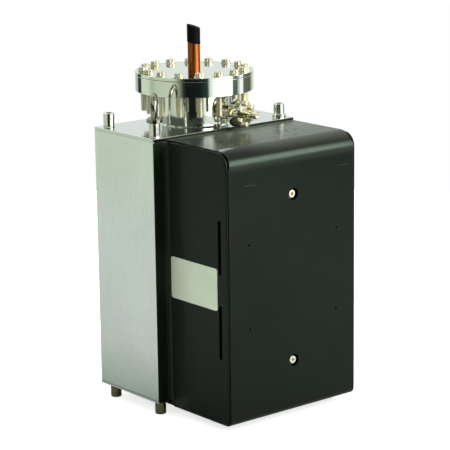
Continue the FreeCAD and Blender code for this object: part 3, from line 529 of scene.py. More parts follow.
@dataclass(frozen=True)
class GrainedSolid:
    """A solid with patches of two colours, and a grain in its gloss and relief.

    Weld metal, copper, foil and the hidden parts share it, each with its own values. The
    relief is its depth in millimetres and its strength.
    """

    name: str
    colours: tuple[Colour, Colour]
    places: Pair
    patches: Grain
    grain: Grain
    roughness: Pair
    relief: Pair
    metallic: float = 1.0
    specular: float = 0.5

    def build(self) -> Material:
        """Makes the material.

        Returns:
            The material.
        """
        graph = Graph(self.name)
        grain = self.grain.lay(graph)
        return graph.finish(
            graph.ramp(self.patches.lay(graph), list(zip(self.places, self.colours))),
            graph.span(grain, NOISE_SPAN, self.roughness),
            graph.bump(grain, *self.relief),
            Metallic=self.metallic,
            Specular_IOR_Level=self.specular,
        )


def weld_metal() -> GrainedSolid:
    """Weld metal with its ripples and a trace of straw heat tint."""
    colours, heat, grain = ((0.66, 0.67, 0.62), (0.62, 0.57, 0.46)), Grain(130.0, 2.0), Grain(2400.0)
    return GrainedSolid("rippled_weld_metal", colours, (0.42, 0.66), heat, grain, (0.16, 0.32), (0.008, 0.5))


def drawn_copper() -> GrainedSolid:
    """Clean drawn copper, browned a little in streaks along the tube."""
    colours, streaks = ((0.38, 0.103, 0.022), (0.27, 0.058, 0.007)), Grain(300.0, 2.0, (1.0, 1.0, 0.05))
    return GrainedSolid("drawn_copper", colours, (0.35, 0.75), streaks, streaks, (0.28, 0.36), (0.001, 0.2))


def plate_metal() -> GrainedSolid:
    """Matt silvered foil plate with a grain along its length.

    Returns:
        The finish.
    """
    colour = (0.77, 0.86, 0.69)
    colours = (shade(colour, 0.95), shade(colour, 1.04))
    patches, grain = Grain(35.0, 2.0), Grain(3200.0, 3.0, (1.0, 0.05, 1.0))
    return GrainedSolid(
        "matt_plate_metal", colours, NOISE_SPAN, patches, grain, (0.38, 0.50), (0.004, 0.4), 0.12, 0.3
    )


def hidden_solid(
    name: str, colours: tuple[Colour, Colour], metallic: float, roughness: Pair, grain: Grain, depth_mm: float
) -> GrainedSolid:
    """A finish for parts inside the pump, with patches of one size."""
    return GrainedSolid(name, colours, (0.35, 0.68), Grain(80.0), grain, roughness, (depth_mm, 0.6), metallic)


def white_alumina() -> GrainedSolid:
    """Fired alumina of the stand-offs and the feedthrough."""
    colours = ((0.86, 0.85, 0.81), (0.80, 0.79, 0.74))
    return hidden_solid("white_alumina", colours, 0.0, (0.28, 0.40), Grain(1800.0), 0.01)


def sintered_ferrite() -> GrainedSolid:
    """Ground ferrite of the magnet blocks."""
    colours = ((0.030, 0.030, 0.033), (0.055, 0.055, 0.060))
    return hidden_solid("sintered_ferrite", colours, 0.1, (0.45, 0.65), Grain(1500.0), 0.03)


def plated_iron() -> GrainedSolid:
    """Zinc-plated soft iron of the yoke."""
    colours = ((0.50, 0.50, 0.51), (0.40, 0.41, 0.43))
    return hidden_solid("zinc_plated_iron", colours, 1.0, (0.26, 0.42), Grain(900.0), 0.01)


def rolled_titanium() -> GrainedSolid:
    """Rolled titanium of the cathodes, with its grain upright."""
    colours, grain = ((0.48, 0.46, 0.43), (0.40, 0.38, 0.36)), Grain(2200.0, 3.0, (1.0, 1.0, 0.06))
    return hidden_solid("rolled_titanium", colours, 1.0, (0.26, 0.38), grain, 0.006)


class Finishes:
    """All finishes of the pump, each made once."""

    def __init__(self) -> None:
        """Makes the materials."""
        self.satin = SatinStainless().build()
        self.polished = TurnedStainless().build()
        self.rim = TurnedStainless("turned_rim", roughness=(0.04, 0.07), drag=0.6).build()
        self.neck = TurnedStainless("brushed_neck", roughness=(0.05, 0.09), drag=0.8).build()
        self.top_plate = TurnedStainless(
            "polished_top_plate", (0.68, 0.72, 0.70), (0.08, 0.15), 0.0006, (0.016, 0.020, 0.014)
        ).build()
        self.steel = MachinedSteel().build()
        # painted shade: the feet take a darker, olive copy of the steel
        self.foot_steel = MachinedSteel("dull_foot_steel_painted_shade", (0.15, 0.145, 0.075), (0.20, 0.34)).build()
        # painted shade: the eyebolt's steel is darker than the bright steel
        self.eye_steel = MachinedSteel("forged_eye_steel_painted_shade", (0.24, 0.24, 0.19), (0.05, 0.12)).build()
        self.port_steel = MachinedSteel("straw_port_steel", (0.88, 0.84, 0.66), (0.04, 0.10)).build()
        self.bolt_steel = MachinedSteel("silvered_bolt_steel", (0.70, 0.68, 0.50), (0.38, 0.48)).build()
        self.screw_zinc = MachinedSteel("pale_zinc_screws", (0.82, 0.78, 0.62), (0.20, 0.34)).build()
        self.weld = weld_metal().build()
        self.copper = drawn_copper().build()
        self.cap = SoftCapVinyl().build()
        self.paint = DarkPaint().build()
        # painted light: the sides take a lighter copy of the paint, with painted shade towards the foot and
        # painted light near the rear
        self.side_paint = DarkPaint(
            "dark_stoved_side_paint_painted_light_and_shade", (0.0078, 0.0095, 0.0068), foot_shade=0.2, painted_rear_light=2.0
        ).build()
        self.plate = plate_metal().build()
        self.ceramic = white_alumina().build()
        self.ferrite = sintered_ferrite().build()
        self.iron = plated_iron().build()
        self.titanium = rolled_titanium().build()


# Mesh making
class Shell:
    """Points and faces of a piece, in millimetres, gathered before it becomes an object."""

    def __init__(self) -> None:
        """Starts empty."""
        self.points: list[Vector] = []
        self.faces: list[tuple[int, ...]] = []

    def ring(self, points: Iterable[Vector]) -> list[int]:
        """Adds points.

        Args:
            points: The points, in order.

        Returns:
            Their numbers.
        """
        start = len(self.points)
        self.points.extend(points)
        return list(range(start, len(self.points)))

    def band(self, first: Sequence[int], second: Sequence[int]) -> None:
        """Joins two closed rings of as many points with quads.

        Args:
            first: Numbers of one ring's points.
            second: Numbers of the other's.
        """
        count = len(first)
        for index in range(count):
            after = (index + 1) % count
            self.faces.append((first[index], first[after], second[after], second[index]))

    def skin(self, rings: Sequence[Sequence[int]], lids: bool = True) -> None:
        """Joins rings in order.

        Args:
            rings: Closed rings with as many points each.
            lids: Whether the first and last ring are filled.
        """
        for first, second in zip(rings, rings[1:]):
            self.band(first, second)
        if lids:
            self.faces.append(tuple(reversed(rings[0])))
            self.faces.append(tuple(rings[-1]))

    def to_piece(
        self,
        name: str,
        material: Material,
        body: Body = Body.BASE,
        stands_for: Sequence[str] = (),
        crease_degrees: float = 32.0,
    ) -> None:
        """Turns the shell into a piece that rides on a body.

        Args:
            name: Name of the piece.
            material: Its finish.
            body: The body it moves with.
            stands_for: CAD nodes that it replaces.
            crease_degrees: Edges sharper than this stay sharp.
        """
        mesh = bpy.data.meshes.new(name)
        mesh.from_pydata([point * MM for point in self.points], [], self.faces)
        work = bmesh.new()
        work.from_mesh(mesh)
        bmesh.ops.recalc_face_normals(work, faces=work.faces)
        for face in work.faces:
            face.smooth = True
        work.to_mesh(mesh)
        work.free()
        mesh.set_sharp_from_angle(angle=math.radians(crease_degrees))
        mesh.materials.append(material)
        piece = bpy.data.objects.new(name, mesh)
        bpy.context.scene.collection.objects.link(piece)
        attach(piece, body.value)
        if stands_for:
            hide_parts(*stands_for)
        LOG.info("%s: %d faces on body %s", name, len(mesh.polygons), body.value)


def dress(nodes: Sequence[str], material: Material) -> None:
    """Gives CAD nodes a finish.

    Args:
        nodes: Names of the nodes.
        material: The finish.
    """
    for node in nodes:
        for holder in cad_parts[node].material_slots:
            holder.material = material
    LOG.info("%s on %s", material.name, ", ".join(nodes))


def polar(radius: float, degrees: float, height: float) -> Vector:
    """A point from its distance to the neck's axis, its angle and its height."""
    turn = math.radians(degrees)
    return Vector((radius * math.cos(turn), radius * math.sin(turn), height))


def axes(origin: Vector, along: Vector, across: Vector) -> Matrix:
    """A placement whose local Z runs along one direction and local X across it."""
    turn = Matrix((across, along.cross(across), along)).transposed().to_4x4()
    return Matrix.Translation(origin) @ turn


def round_ring(place: Matrix, radius: Measure, height: Measure, count: int) -> list[Vector]:
    """Points of a ring round the local Z of a placement.

    Args:
        place: The placement.
        radius: The radius, or a function of the angle in radians.
        height: The height, or a function of the angle in radians.
        count: How many points.

    Returns:
        The points.
    """
    points = []
    for index in range(count):
        angle = 2 * math.pi * index / count
        reach = radius(angle) if callable(radius) else radius
        level = height(angle) if callable(height) else height
        points.append(place @ Vector((reach * math.cos(angle), reach * math.sin(angle), level)))
    return points


def lathe(shell: Shell, place: Matrix, profile: Sequence[tuple[Measure, Measure]], count: int) -> None:
    """Makes a closed skin of rings round the local Z of a placement."""
    shell.skin([shell.ring(round_ring(place, radius, height, count)) for radius, height in profile])


def hexagon_radius(angle: float, across_flats: float) -> float:
    """Distance from a hexagon's centre to its side; a corner lies at angle 0."""
    sector = math.pi / 3
    return across_flats / 2 / math.cos(angle % sector - sector / 2)


def thread(shell: Shell, place: Matrix, span: Pair, core: float, crest: float, pitch: float) -> None:
    """Winds a thread round the local Z of a placement.

    Args:
        shell: The shell that gets it.
        place: The placement.
        span: Heights of its two ends.
        core: Radius of the core it stands on.
        crest: Radius over the thread.
        pitch: Height of one turn.
    """
    steps_per_turn = 14
    fading_turns = 0.6
    root = core - 0.06  # it starts inside the core
    low, high = span
    steps = int(((high - low) / pitch - 1) * steps_per_turn)
    rings = []
    for step in range(steps + 1):
        angle = 2 * math.pi * step / steps_per_turn
        level = low + pitch * step / steps_per_turn
        fade = min(1.0, min(step, steps - step) / (steps_per_turn * fading_turns))
        top = core + (crest - core) * fade
        section = ((root, 0.02), (top, 0.40), (top, 0.58), (root, 0.96))  # radius, share of the pitch
        rings.append(shell.ring(
            place @ Vector((radius * math.cos(angle), radius * math.sin(angle), level + share * pitch))
            for radius, share in section
        ))
    shell.skin(rings)


def weld_bead(shell: Shell, path: Sequence[Vector], reference: Vector, radius: float) -> None:
    """Lays a rippled bead along a closed path.

    Args:
        shell: The shell that gets it.
        path: Points of the path, a whole number of ripples.
        reference: A direction that the path is never parallel to.
        radius: Radius of the bead.
    """
    corners = 8
    points_per_ripple = 3
    least_swell, growth = 0.88, 0.14
    rings = []
    for index, point in enumerate(path):
        ahead = path[(index + 1) % len(path)] - path[index - 1]
        ahead.normalize()
        side = ahead.cross(reference).normalized()
        other = side.cross(ahead)
        swell = radius * (least_swell + growth * (index % points_per_ripple) / (points_per_ripple - 1))
        rings.append(shell.ring(
            point + (side * math.cos(turn) + other * math.sin(turn)) * swell
            for turn in (2 * math.pi * corner / corners for corner in range(corners))
        ))
    shell.skin([*rings, rings[0]], lids=False)


def root_bead(shell: Shell, centre: Colour, reach: float, radius: float, count: int) -> None:
    """Lays a bead round the foot of an upright; reach is the radius of its path."""
    weld_bead(shell, round_ring(Matrix.Translation(centre), reach, 0.0, count), UP, radius)


# Sub-assemblies
@dataclass
class Assembly:
    """A sub-assembly of the pump, and the finishes that it takes its own from."""

    finishes: Finishes


@dataclass
class Vessel(Assembly):
    """The welded vessel with its posts, its feet and the beads at their roots."""

    top: float = 358.0
    bottom: float = 18.0
    post_x: float = 101.5
    post_y: float = 47.5
    post_radius: float = 7.0
    bead_radius: float = 0.5
    bead_off: float = 0.15
    bead_points: int = 90

    def build(self) -> None:
        """Dresses the walls and stubs and lays the beads."""
        walls = ("left_wall", "right_wall", "rear_wall", "front_wall", "bottom_plate")
        dress([f"vessel_{wall}" for wall in walls], self.finishes.satin)
        dress(("vessel_top_plate",), self.finishes.top_plate)
        places = ("front_left", "front_right", "rear_left", "rear_right")
        dress([f"post_{place}" for place in places], self.finishes.steel)
        dress([f"foot_{place}" for place in places], self.finishes.foot_steel)
        dress(("post_collar",), self.finishes.steel)
        corners = [(x, y) for x in (-self.post_x, self.post_x) for y in (-self.post_y, self.post_y)]
        bare_posts = [(x, y) for x, y in corners if (x, y) != (self.post_x, -self.post_y)]
        self.root_beads("post_root_beads", bare_posts, self.top + self.bead_off, self.finishes.weld)
        self.root_beads("foot_root_beads", corners, self.bottom - self.bead_off, self.finishes.weld)

    def root_beads(self, name: str, places: Sequence[Pair], level: float, material: Material) -> None:
        """Lays a bead round the root of each stub.

        Args:
            name: Name of the piece.
            places: Where the stubs stand.
            level: Height of the beads.
            material: Their finish.
        """
        shell = Shell()
        for x, y in places:
            reach = self.post_radius + self.bead_off
            root_bead(shell, (x, y, level), reach, self.bead_radius, self.bead_points)
        shell.to_piece(name, material)


@dataclass
class LiftingEye(Assembly):
    """The eyebolt in the front left post."""

    def build(self) -> None:
        """Dresses the eyebolt."""
        dress(("lifting_eyebolt",), self.finishes.eye_steel)


@dataclass
class NeckAndFlange(Assembly):
    """Neck, knife-edge flange, shipping plate and the sixteen bolts through them."""

    neck_radius: float = 44.45
    vessel_top: float = 358.0
    bead_radius: float = 0.5
    bead_off: float = 0.15
    bead_points: int = 540
    flange_bottom: float = 401.0
    plate_top: float = 425.4
    bolt_circle: float = 130.3
    bolt_count: int = 16
    first_bolt_angle: float = 12.0
    bolt_radius: float = 3.95
    core_radius: float = 3.60
    thread_pitch: float = 1.06
    bolt_tip: float = 374.6
    short_bolt_tip: float = 393.6
    short_bolt_angle: float = 282.0
    tip_chamfer: float = 0.9
    washer_radius: float = 6.6
    head_corner: float = 5.6
    head_top: float = 430.8
    crown_share: float = 0.97
    chamfer_slope: float = 0.75

    def build(self) -> None:
        """Dresses the turned parts, then makes the root bead and the bolts."""
        dress(("neck_tube",), self.finishes.neck)
        dress(("inlet_flange",), self.finishes.rim)
        dress(("shipping_plate",), self.finishes.polished)
        dress(("inlet_gasket",), self.finishes.copper)
        bead = Shell()
        centre = (0.0, 0.0, self.vessel_top + self.bead_off)
        root_bead(bead, centre, self.neck_radius + self.bead_off, self.bead_radius, self.bead_points)
        # painted shade: the bead takes the darkened eye steel
        bead.to_piece("neck_root_bead", self.finishes.eye_steel)
        self.bolts()

    def bolts(self) -> None:
        """Makes the twelve-point bolts with their threads."""
        shell = Shell()
        for index in range(self.bolt_count):
            angle = self.first_bolt_angle + 360.0 * index / self.bolt_count
            place = axes(polar(self.bolt_circle / 2, angle, 0.0), UP, polar(1.0, angle, 0.0))
            short = abs(angle - self.short_bolt_angle) < 1
            self.bolt(shell, place, self.short_bolt_tip if short else self.bolt_tip)
        replaced = ("flange_bolts",)
        shell.to_piece("twelve_point_bolts", self.finishes.bolt_steel, stands_for=replaced)

    def star_radius(self, angle: float) -> float:
        """Radius of the twelve-pointed head: two hexagons, half a sector apart."""
        flats = 2 * self.head_corner * math.cos(math.pi / 6)
        return max(hexagon_radius(angle, flats), hexagon_radius(angle + math.pi / 6, flats))

    def bolt(self, shell: Shell, place: Matrix, tip: float) -> None:
        """Makes one bolt from its tip up to the dimple in its head.

        Args:
            shell: The shell that gets it.
            place: The bolt's axis, with heights measured from the floor.
            tip: Height of its lower end.
        """
        core, shank, washer = self.core_radius, self.bolt_radius, self.washer_radius
        seat, top = self.plate_top, self.head_top
        crown = self.head_corner * math.cos(math.pi / 6) * self.crown_share
        runout = self.flange_bottom - 0.4

        def chamfer(angle: float) -> float:
            """Height where the side of the head meets the chamfer."""
            return top - (self.star_radius(angle) - crown) * self.chamfer_slope

        profile: list[tuple[Measure, Measure]] = [
            (core - self.tip_chamfer, tip), (core, tip + self.tip_chamfer), (core, runout - 0.6),
            (shank, runout), (shank, seat), (washer - 0.2, seat), (washer, seat + 0.2),
            (washer, seat + 0.9), (washer - 0.25, seat + 1.15), (self.head_corner + 0.3, seat + 1.2),
            (self.star_radius, seat + 1.25), (self.star_radius, chamfer), (crown, top),
            (2.9, top), (2.6, top - 0.35), (1.2, top - 0.8),
        ]
        lathe(shell, place, profile, 48)
        thread(shell, place, (tip + 0.5, runout - 0.3), core, shank, self.thread_pitch)


@dataclass
class PinchOff(Assembly):
    """The copper pinch-off tube and the soft cap over its squeezed end."""

    cap_bottom: float = 458.0
    cap_bottom_slope: float = 0.20
    cap_middle_top: float = 481.6
    cap_radius: float = 8.5
    cap_bore: float = 7.95
    cap_top_wall: float = 1.6
    slant_degrees: float = 140.0
    slant: float = 2.75
    rim_low_degrees: float = -40.1
    corners: int = 56
    waves_per_mm: float = 0.22
    wave_upright_stretch: float = 0.5
    wave_depth: float = 0.10

    def build(self) -> None:
        """Dresses the tube and makes the cap."""
        dress(("pinch_off_tube",), self.finishes.copper)
        shell = Shell()
        outer = [self.cap_ring(shell, *step) for step in self.outer_steps()]
        inner = [self.cap_ring(shell, *step) for step in self.inner_steps()]
        shell.skin([*reversed(inner), *outer])
        shell.to_piece("soft_pinch_cap", self.finishes.cap, Body.CAP, ("pinch_off_cap",), 50.0)

    def outer_steps(self) -> list[tuple[float, float, float]]:
        """The outside of the cap, from the rim to the crown.

        Returns:
            Radius, share of the way up and drop below the slanted top of each ring.
        """
        radius = self.cap_radius
        wall = [(radius - 0.30, 0.0, 0.0), (radius - 0.02, 0.03, 0.0), (radius, 0.08, 0.0)]
        wall += [(radius - 0.16 + 0.16 * share, share, 0.0) for share in (0.16, 0.3, 0.45, 0.6, 0.75, 0.88)]
        crown = [(radius - 0.05, 1.0, 1.15), (radius - 0.35, 1.0, 0.5), (radius - 1.0, 1.0, 0.12)]
        crown += [(radius - 2.2, 1.0, 0.0), (radius * 0.45, 1.0, 0.12), (radius * 0.15, 1.0, 0.2)]
        return wall + crown

    def inner_steps(self) -> list[tuple[float, float, float]]:
        """The hollow, from the rim to its closed end.

        Returns:
            The same of each ring as for the outside.
        """
        bore, drop = self.cap_bore, self.cap_top_wall
        return [
            (bore, 0.0, 0.0), (bore, 0.3, 0.0), (bore, 0.8, 0.0), (bore - 0.3, 1.0, drop + 0.6),
            (bore - 1.2, 1.0, drop), (bore * 0.5, 1.0, drop), (bore * 0.15, 1.0, drop),
        ]

    def cap_ring(self, shell: Shell, radius: float, share: float, drop: float) -> list[int]:
        """Adds one ring of the cap, between its sloping rim and its slanted top.

        Args:
            shell: The shell that gets it.
            radius: Its radius.
            share: Its share of the way up.
            drop: Its drop below the slanted top, where the share is 1.

        Returns:
            The numbers of its points.
        """
        points = []
        for index in range(self.corners):
            angle = 2 * math.pi * index / self.corners
            flat = Vector((radius * math.cos(angle), radius * math.sin(angle), 0.0))
            lean = flat.dot(polar(1.0, self.slant_degrees, 0.0)) / self.cap_radius
            high = self.cap_middle_top + self.slant * lean
            from_low_side = self.cap_radius - flat.dot(polar(1.0, self.rim_low_degrees, 0.0))
            low = self.cap_bottom + self.cap_bottom_slope * from_low_side
            level = low + (high - drop - low) * share
            wave = 0.0
            if radius > self.cap_bore + 0.1:
                spot = Vector((flat.x, flat.y, level * self.wave_upright_stretch))
                wave = noise.noise(spot * self.waves_per_mm) * self.wave_depth
            points.append(flat * (1 + wave / self.cap_radius) + Vector((0, 0, level)))
        return shell.ring(points)


@dataclass
class Feedthrough(Assembly):
    """The high-voltage feedthrough on the neck and the connector in it."""

    azimuth: float = -75.0
    height: float = 375.0
    nipple_radius: float = 9.5
    neck_radius: float = 44.45
    bead_radius: float = 0.8
    bead_off: float = 0.3
    bead_points: int = 126
    bolt_circle: float = 27.0
    bolt_count: int = 6
    first_bolt_angle: float = 30.0
    shank_radius: float = 1.95
    shank_start: float = 63.0
    face: float = 78.5
    head_width: float = 6.2
    head_end: float = 82.3
    crown_share: float = 0.95
    chamfer_slope: float = 0.58

    def build(self) -> None:
        """Dresses the turned parts, then makes the saddle bead and the small bolts."""
        turned = ("feedthrough_nipple", "nipple_flange", "feedthrough_flange", "connector_shell")
        dress(turned, self.finishes.port_steel)
        dress(("feedthrough_gasket",), self.finishes.copper)
        dress(("connector_insulator",), self.finishes.ceramic)
        dress(("connector_pin",), self.finishes.steel)
        self.saddle_bead()
        self.bolts()

    def axis(self) -> Vector:
        """Direction from the neck out along the feedthrough."""
        return polar(1.0, self.azimuth, 0.0)

    def across(self) -> Vector:
        """Level direction at right angles to the feedthrough."""
        return polar(1.0, self.azimuth + 90, 0.0)

    def saddle_bead(self) -> None:
        """Lays the bead where the nipple meets the round of the neck."""
        shell = Shell()
        radius = self.nipple_radius + self.bead_off
        path = []
        for index in range(self.bead_points):
            turn = 2 * math.pi * index / self.bead_points
            side = radius * math.cos(turn)
            reach = math.sqrt(self.neck_radius**2 - side**2) + self.bead_off
            level = self.height + radius * math.sin(turn)
            path.append(self.axis() * reach + self.across() * side + Vector((0, 0, level)))
        weld_bead(shell, path, self.axis(), self.bead_radius)
        shell.to_piece("nipple_saddle_bead", self.finishes.weld)

    def bolts(self) -> None:
        """Makes the six hexagon bolts of the small flange."""
        crown = self.head_width / 2 * self.crown_share
        face, end = self.face, self.head_end

        def side(angle: float) -> float:
            """Radius of the hexagon."""
            return hexagon_radius(angle, self.head_width)

        def chamfer(angle: float) -> float:
            """Reach where the side of the head meets the chamfer."""
            return end - (side(angle) - crown) * self.chamfer_slope

        profile: list[tuple[Measure, Measure]] = [
            (self.shank_radius, self.shank_start), (self.shank_radius, face), (crown, face),
            (crown, face + 0.3), (side, face + 0.35), (side, chamfer), (crown, end), (1.2, end),
            (0.8, end - 0.4),
        ]
        shell = Shell()
        radius = self.bolt_circle / 2
        for index in range(self.bolt_count):
            turn = math.radians(self.first_bolt_angle + 360.0 * index / self.bolt_count)
            centre = self.across() * (radius * math.cos(turn)) + UP * (self.height + radius * math.sin(turn))
            lathe(shell, axes(centre, self.axis(), self.across()), profile, 48)
        replaced = ("feedthrough_bolts",)
        shell.to_piece("small_hexagon_bolts", self.finishes.bolt_steel, stands_for=replaced)


@dataclass
class Cover(Assembly):
    """The painted sheet cover, its rating plate and the screws behind its two holes."""

    def build(self) -> None:
        """Dresses the sheets, the plate and the screws."""
        dress(("cover_wrap",), self.finishes.paint)
        dress(("cover_side_left", "cover_side_right"), self.finishes.side_paint)
        dress(("rating_plate",), self.finishes.plate)
        dress(("clamp_screws",), self.finishes.screw_zinc)
        dress(("clamp_standoffs",), self.finishes.steel)


@dataclass
class MagnetCircuit(Assembly):
    """Magnets, yoke plates, their screws and the feet below them."""

    def build(self) -> None:
        """Dresses the nodes inside the cover."""
        dress(("magnet_left", "magnet_middle", "magnet_right"), self.finishes.ferrite)
        dress(("yoke_left", "yoke_right", "yoke_front", "yoke_base"), self.finishes.iron)
        dress(("magnet_spacer",), self.finishes.plate)
        dress(("yoke_screws", "magnet_foot_left", "magnet_foot_right"), self.finishes.steel)


@dataclass
class PumpElements(Assembly):
    """Pockets, anodes, cathodes and what holds and feeds them."""

    def build(self) -> None:
        """Dresses the nodes inside the vessel and its pockets."""
        for part, finish in (
            ("pocket", self.finishes.satin),
            ("anode", self.finishes.steel),
            ("cathodes", self.finishes.titanium),
            ("element_frames", self.finishes.steel),
            ("ceramic_stands", self.finishes.ceramic),
        ):
            dress([f"{part}_{side}" for side in ("left", "right")], finish)
        dress(("high_voltage_bus",), self.finishes.steel)


# Screens round the pump: degrees from the camera's own direction, from behind the pump past
# its left, the camera and its right, and the colour there
REAR, GAP, DARK = (0.62, 0.66, 0.64), (0.02, 0.025, 0.02), (0.07, 0.08, 0.06)
LEFT, RIGHT = (0.56, 0.62, 0.51), (0.92, 0.95, 0.94)
LOW_BOX, TALL_BOX = (2.2, 2.2, 2.1), (3.0, 3.0, 2.91)
LOW_SCREENS: Sequence[Stop] = (
    (-180.0, REAR), (-164.0, REAR), (-158.0, (0.44, 0.50, 0.45)), (-142.0, (0.32, 0.38, 0.34)),
    (-139.0, GAP), (-127.0, GAP), (-123.0, LEFT), (-102.0, LEFT), (-90.0, (0.37, 0.44, 0.33)),
    (-78.0, (0.46, 0.53, 0.40)), (-44.0, (0.50, 0.56, 0.43)), (-38.0, (0.46, 0.50, 0.38)),
    (-22.0, (0.03, 0.04, 0.03)), (-16.0, (0.006, 0.008, 0.007)), (10.0, (0.008, 0.011, 0.010)),
    (26.0, (0.02, 0.045, 0.035)), (30.0, (0.60, 0.70, 0.62)), (42.0, (1.1, 1.1, 1.07)),
    (50.0, LOW_BOX), (76.0, LOW_BOX), (80.0, (0.08, 0.11, 0.09)), (90.0, (0.07, 0.10, 0.09)),
    (101.0, RIGHT), (107.0, RIGHT), (111.0, (0.12, 0.12, 0.09)), (137.0, (0.10, 0.10, 0.07)),
    (150.0, (0.50, 0.56, 0.54)), (164.0, REAR), (180.0, REAR),
)
HIGH_SCREENS: Sequence[Stop] = (
    (-180.0, REAR), (-150.0, REAR), (-140.0, (0.30, 0.33, 0.29)), (-112.0, (0.34, 0.37, 0.30)),
    (-96.0, DARK), (-30.0, DARK), (14.0, (0.010, 0.015, 0.014)), (24.0, (0.04, 0.06, 0.05)),
    (34.0, TALL_BOX), (80.0, TALL_BOX), (94.0, (0.16, 0.20, 0.17)), (108.0, (0.16, 0.18, 0.15)),
    (137.0, (0.20, 0.22, 0.19)), (150.0, REAR), (180.0, REAR),
)


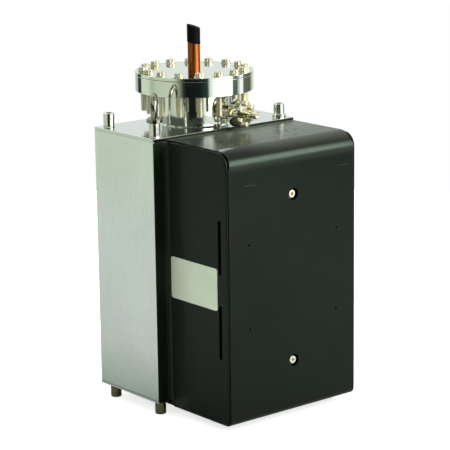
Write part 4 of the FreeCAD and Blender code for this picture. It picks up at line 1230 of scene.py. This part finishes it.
@dataclass
class Studio:
    """Pale floor, soft surroundings, a soft box and the camera of the photograph."""

    floor_radius_m: float = 1.27
    floor_colour: Colour = (0.72, 0.73, 0.71)
    floor_glow: float = 0.74
    shaded_x: Pair = (-0.067, 0.105)
    darkest_x: Pair = (-0.061, 0.095)
    shaded_y: Pair = (-0.135, 0.060)
    darkest_y: Pair = (-0.125, 0.050)
    box_place: Colour = (1.10, -1.30, 1.22)
    box_aim: Colour = (0.0, 0.0, 0.2)
    box_size_m: Pair = (0.52, 0.66)
    box_power_w: float = 25.0
    camera_place: Colour = (-1.5573, -1.9540, 0.8066)
    camera_right: Colour = (0.76479, -0.64419, -0.01072)
    camera_up: Colour = (0.15684, 0.17003, 0.97288)
    camera_forward: Colour = (0.62490, 0.74573, -0.23107)
    camera_azimuth: float = -128.55
    lens_mm: float = 157.97
    shift: Pair = (-0.0423, 0.0129)
    brightest: float = 3.0
    room_strength: float = 1.35
    overhead: Colour = (0.95, 0.97, 0.96)
    zenith: Colour = (0.34, 0.36, 0.34)
    low_to_high: Pair = (-0.17, 0.06)
    high_to_overhead: Pair = (0.34, 0.62)
    overhead_to_zenith: Pair = (0.80, 0.95)

    def build(self) -> None:
        """Makes floor, surroundings, light and camera."""
        self.floor()
        self.surroundings()
        self.soft_box()
        self.camera()
        bpy.context.scene.view_settings.view_transform = "Standard"

    def floor(self) -> None:
        """Lays a round pale floor, which is white to the camera except under the pump."""
        graph = Graph("pale_floor")
        tone = graph.mottle(graph.noise(graph.place(), 30.0), self.floor_colour, (0.98, 1.0))
        seen = graph.add("LightPath").outputs["Is Camera Ray"]
        glow = graph.span(seen, (0.0, 1.0), (0.0, self.floor_glow))
        across = graph.window("X", self.shaded_x, self.darkest_x)
        along = graph.window("Y", self.shaded_y, self.darkest_y)
        open_floor = graph.span(graph.times(across, along), (0.0, 1.0), (1.0, 0.0))
        graph.fix(Base_Color=tone, Roughness=0.8, Specular_IOR_Level=0.1)
        graph.fix(Emission_Color=(1.0, 1.0, 1.0, 1.0), Emission_Strength=graph.times(glow, open_floor))
        mesh = bpy.data.meshes.new("studio_floor")
        work = bmesh.new()
        bmesh.ops.create_circle(work, cap_ends=True, segments=96, radius=self.floor_radius_m)
        work.to_mesh(mesh)
        work.free()
        mesh.materials.append(graph.material)
        floor = bpy.data.objects.new("studio_floor", mesh)
        bpy.context.scene.collection.objects.link(floor)

    def dim(self, colour: Colour) -> Colour:
        """Gives a brightness of the room as a share of the brightest."""
        return shade(colour, 1 / self.brightest)

    def surroundings(self) -> None:
        """Wraps the scene in a soft room: white screens with dark gaps between them."""
        world = bpy.data.worlds.new("soft_room")
        bpy.context.scene.world = world
        world.use_nodes = True
        world.node_tree.nodes.clear()
        tree = Tree(world.node_tree)
        direction = tree.add("TexCoord").outputs["Generated"]
        turn = {"Vector": direction, "Angle": math.radians(-self.camera_azimuth)}
        ahead = tree.split(tree.add("VectorRotate", turn, rotation_type="Z_AXIS").outputs[0])
        around = tree.span(tree.reckon("ARCTAN2", ahead["Y"], ahead["X"]), (-math.pi, math.pi))

        def screens(stops: Sequence[Stop]) -> Socket:
            """Adds a ramp round the horizon."""
            shares = [((degrees + 180.0) / 360.0, self.dim(colour)) for degrees, colour in stops]
            return tree.ramp(around, shares)

        def rising(low: Socket, high: Socket | Colour, heights: Pair) -> Socket:
            """Passes from one colour to another as the direction rises."""
            return tree.blend(tree.span(ahead["Z"], heights, easing="SMOOTHSTEP"), low, high)

        room = rising(screens(LOW_SCREENS), screens(HIGH_SCREENS), self.low_to_high)
        room = rising(room, self.dim(self.overhead), self.high_to_overhead)
        room = rising(room, self.dim(self.zenith), self.overhead_to_zenith)
        strength = self.room_strength * self.brightest
        glow = tree.add("Background", {"Color": room, "Strength": strength}).outputs[0]
        backdrop = tree.add("Background", {"Color": (1.0, 1.0, 1.0, 1.0)}).outputs[0]
        seen = tree.add("LightPath").outputs["Is Camera Ray"]
        choice = tree.add("MixShader", {0: seen, 1: glow, 2: backdrop})
        tree.add("OutputWorld", {"Surface": choice.outputs[0]})

    def soft_box(self) -> None:
        """Hangs a soft box that faces the pump from the front right."""
        light = bpy.data.lights.new("front_right_soft_box", "AREA")
        light.shape = "RECTANGLE"
        light.size, light.size_y = self.box_size_m
        light.energy = self.box_power_w
        box = bpy.data.objects.new("front_right_soft_box", light)
        box.location = self.box_place
        towards = Vector(self.box_aim) - Vector(self.box_place)
        box.rotation_euler = towards.to_track_quat("-Z", "Y").to_euler()
        bpy.context.scene.collection.objects.link(box)

    def camera(self) -> None:
        """Sets up the camera where the photograph was taken from."""
        lens = bpy.data.cameras.new("photo_camera")
        lens.sensor_width = 36.0
        lens.lens = self.lens_mm
        lens.shift_x, lens.shift_y = self.shift
        lens.clip_end = 50.0
        camera = bpy.data.objects.new("photo_camera", lens)
        back = Vector(self.camera_forward) * -1.0
        turn = Matrix((self.camera_right, self.camera_up, back)).transposed().to_4x4()
        camera.matrix_world = Matrix.Translation(self.camera_place) @ turn
        bpy.context.scene.collection.objects.link(camera)
        bpy.context.scene.camera = camera


def main() -> None:
    """Builds the pump's looks, sub-assembly by sub-assembly."""
    logging.basicConfig(level=logging.INFO, format="%(name)s: %(message)s")
    finishes = Finishes()
    assemblies = (
        Vessel, LiftingEye, NeckAndFlange, PinchOff, Feedthrough, Cover, MagnetCircuit, PumpElements
    )
    for assembly in assemblies:
        LOG.info("building %s", assembly.__name__)
        assembly(finishes).build()
    Studio().build()


if __name__ == "__main__":
    main()
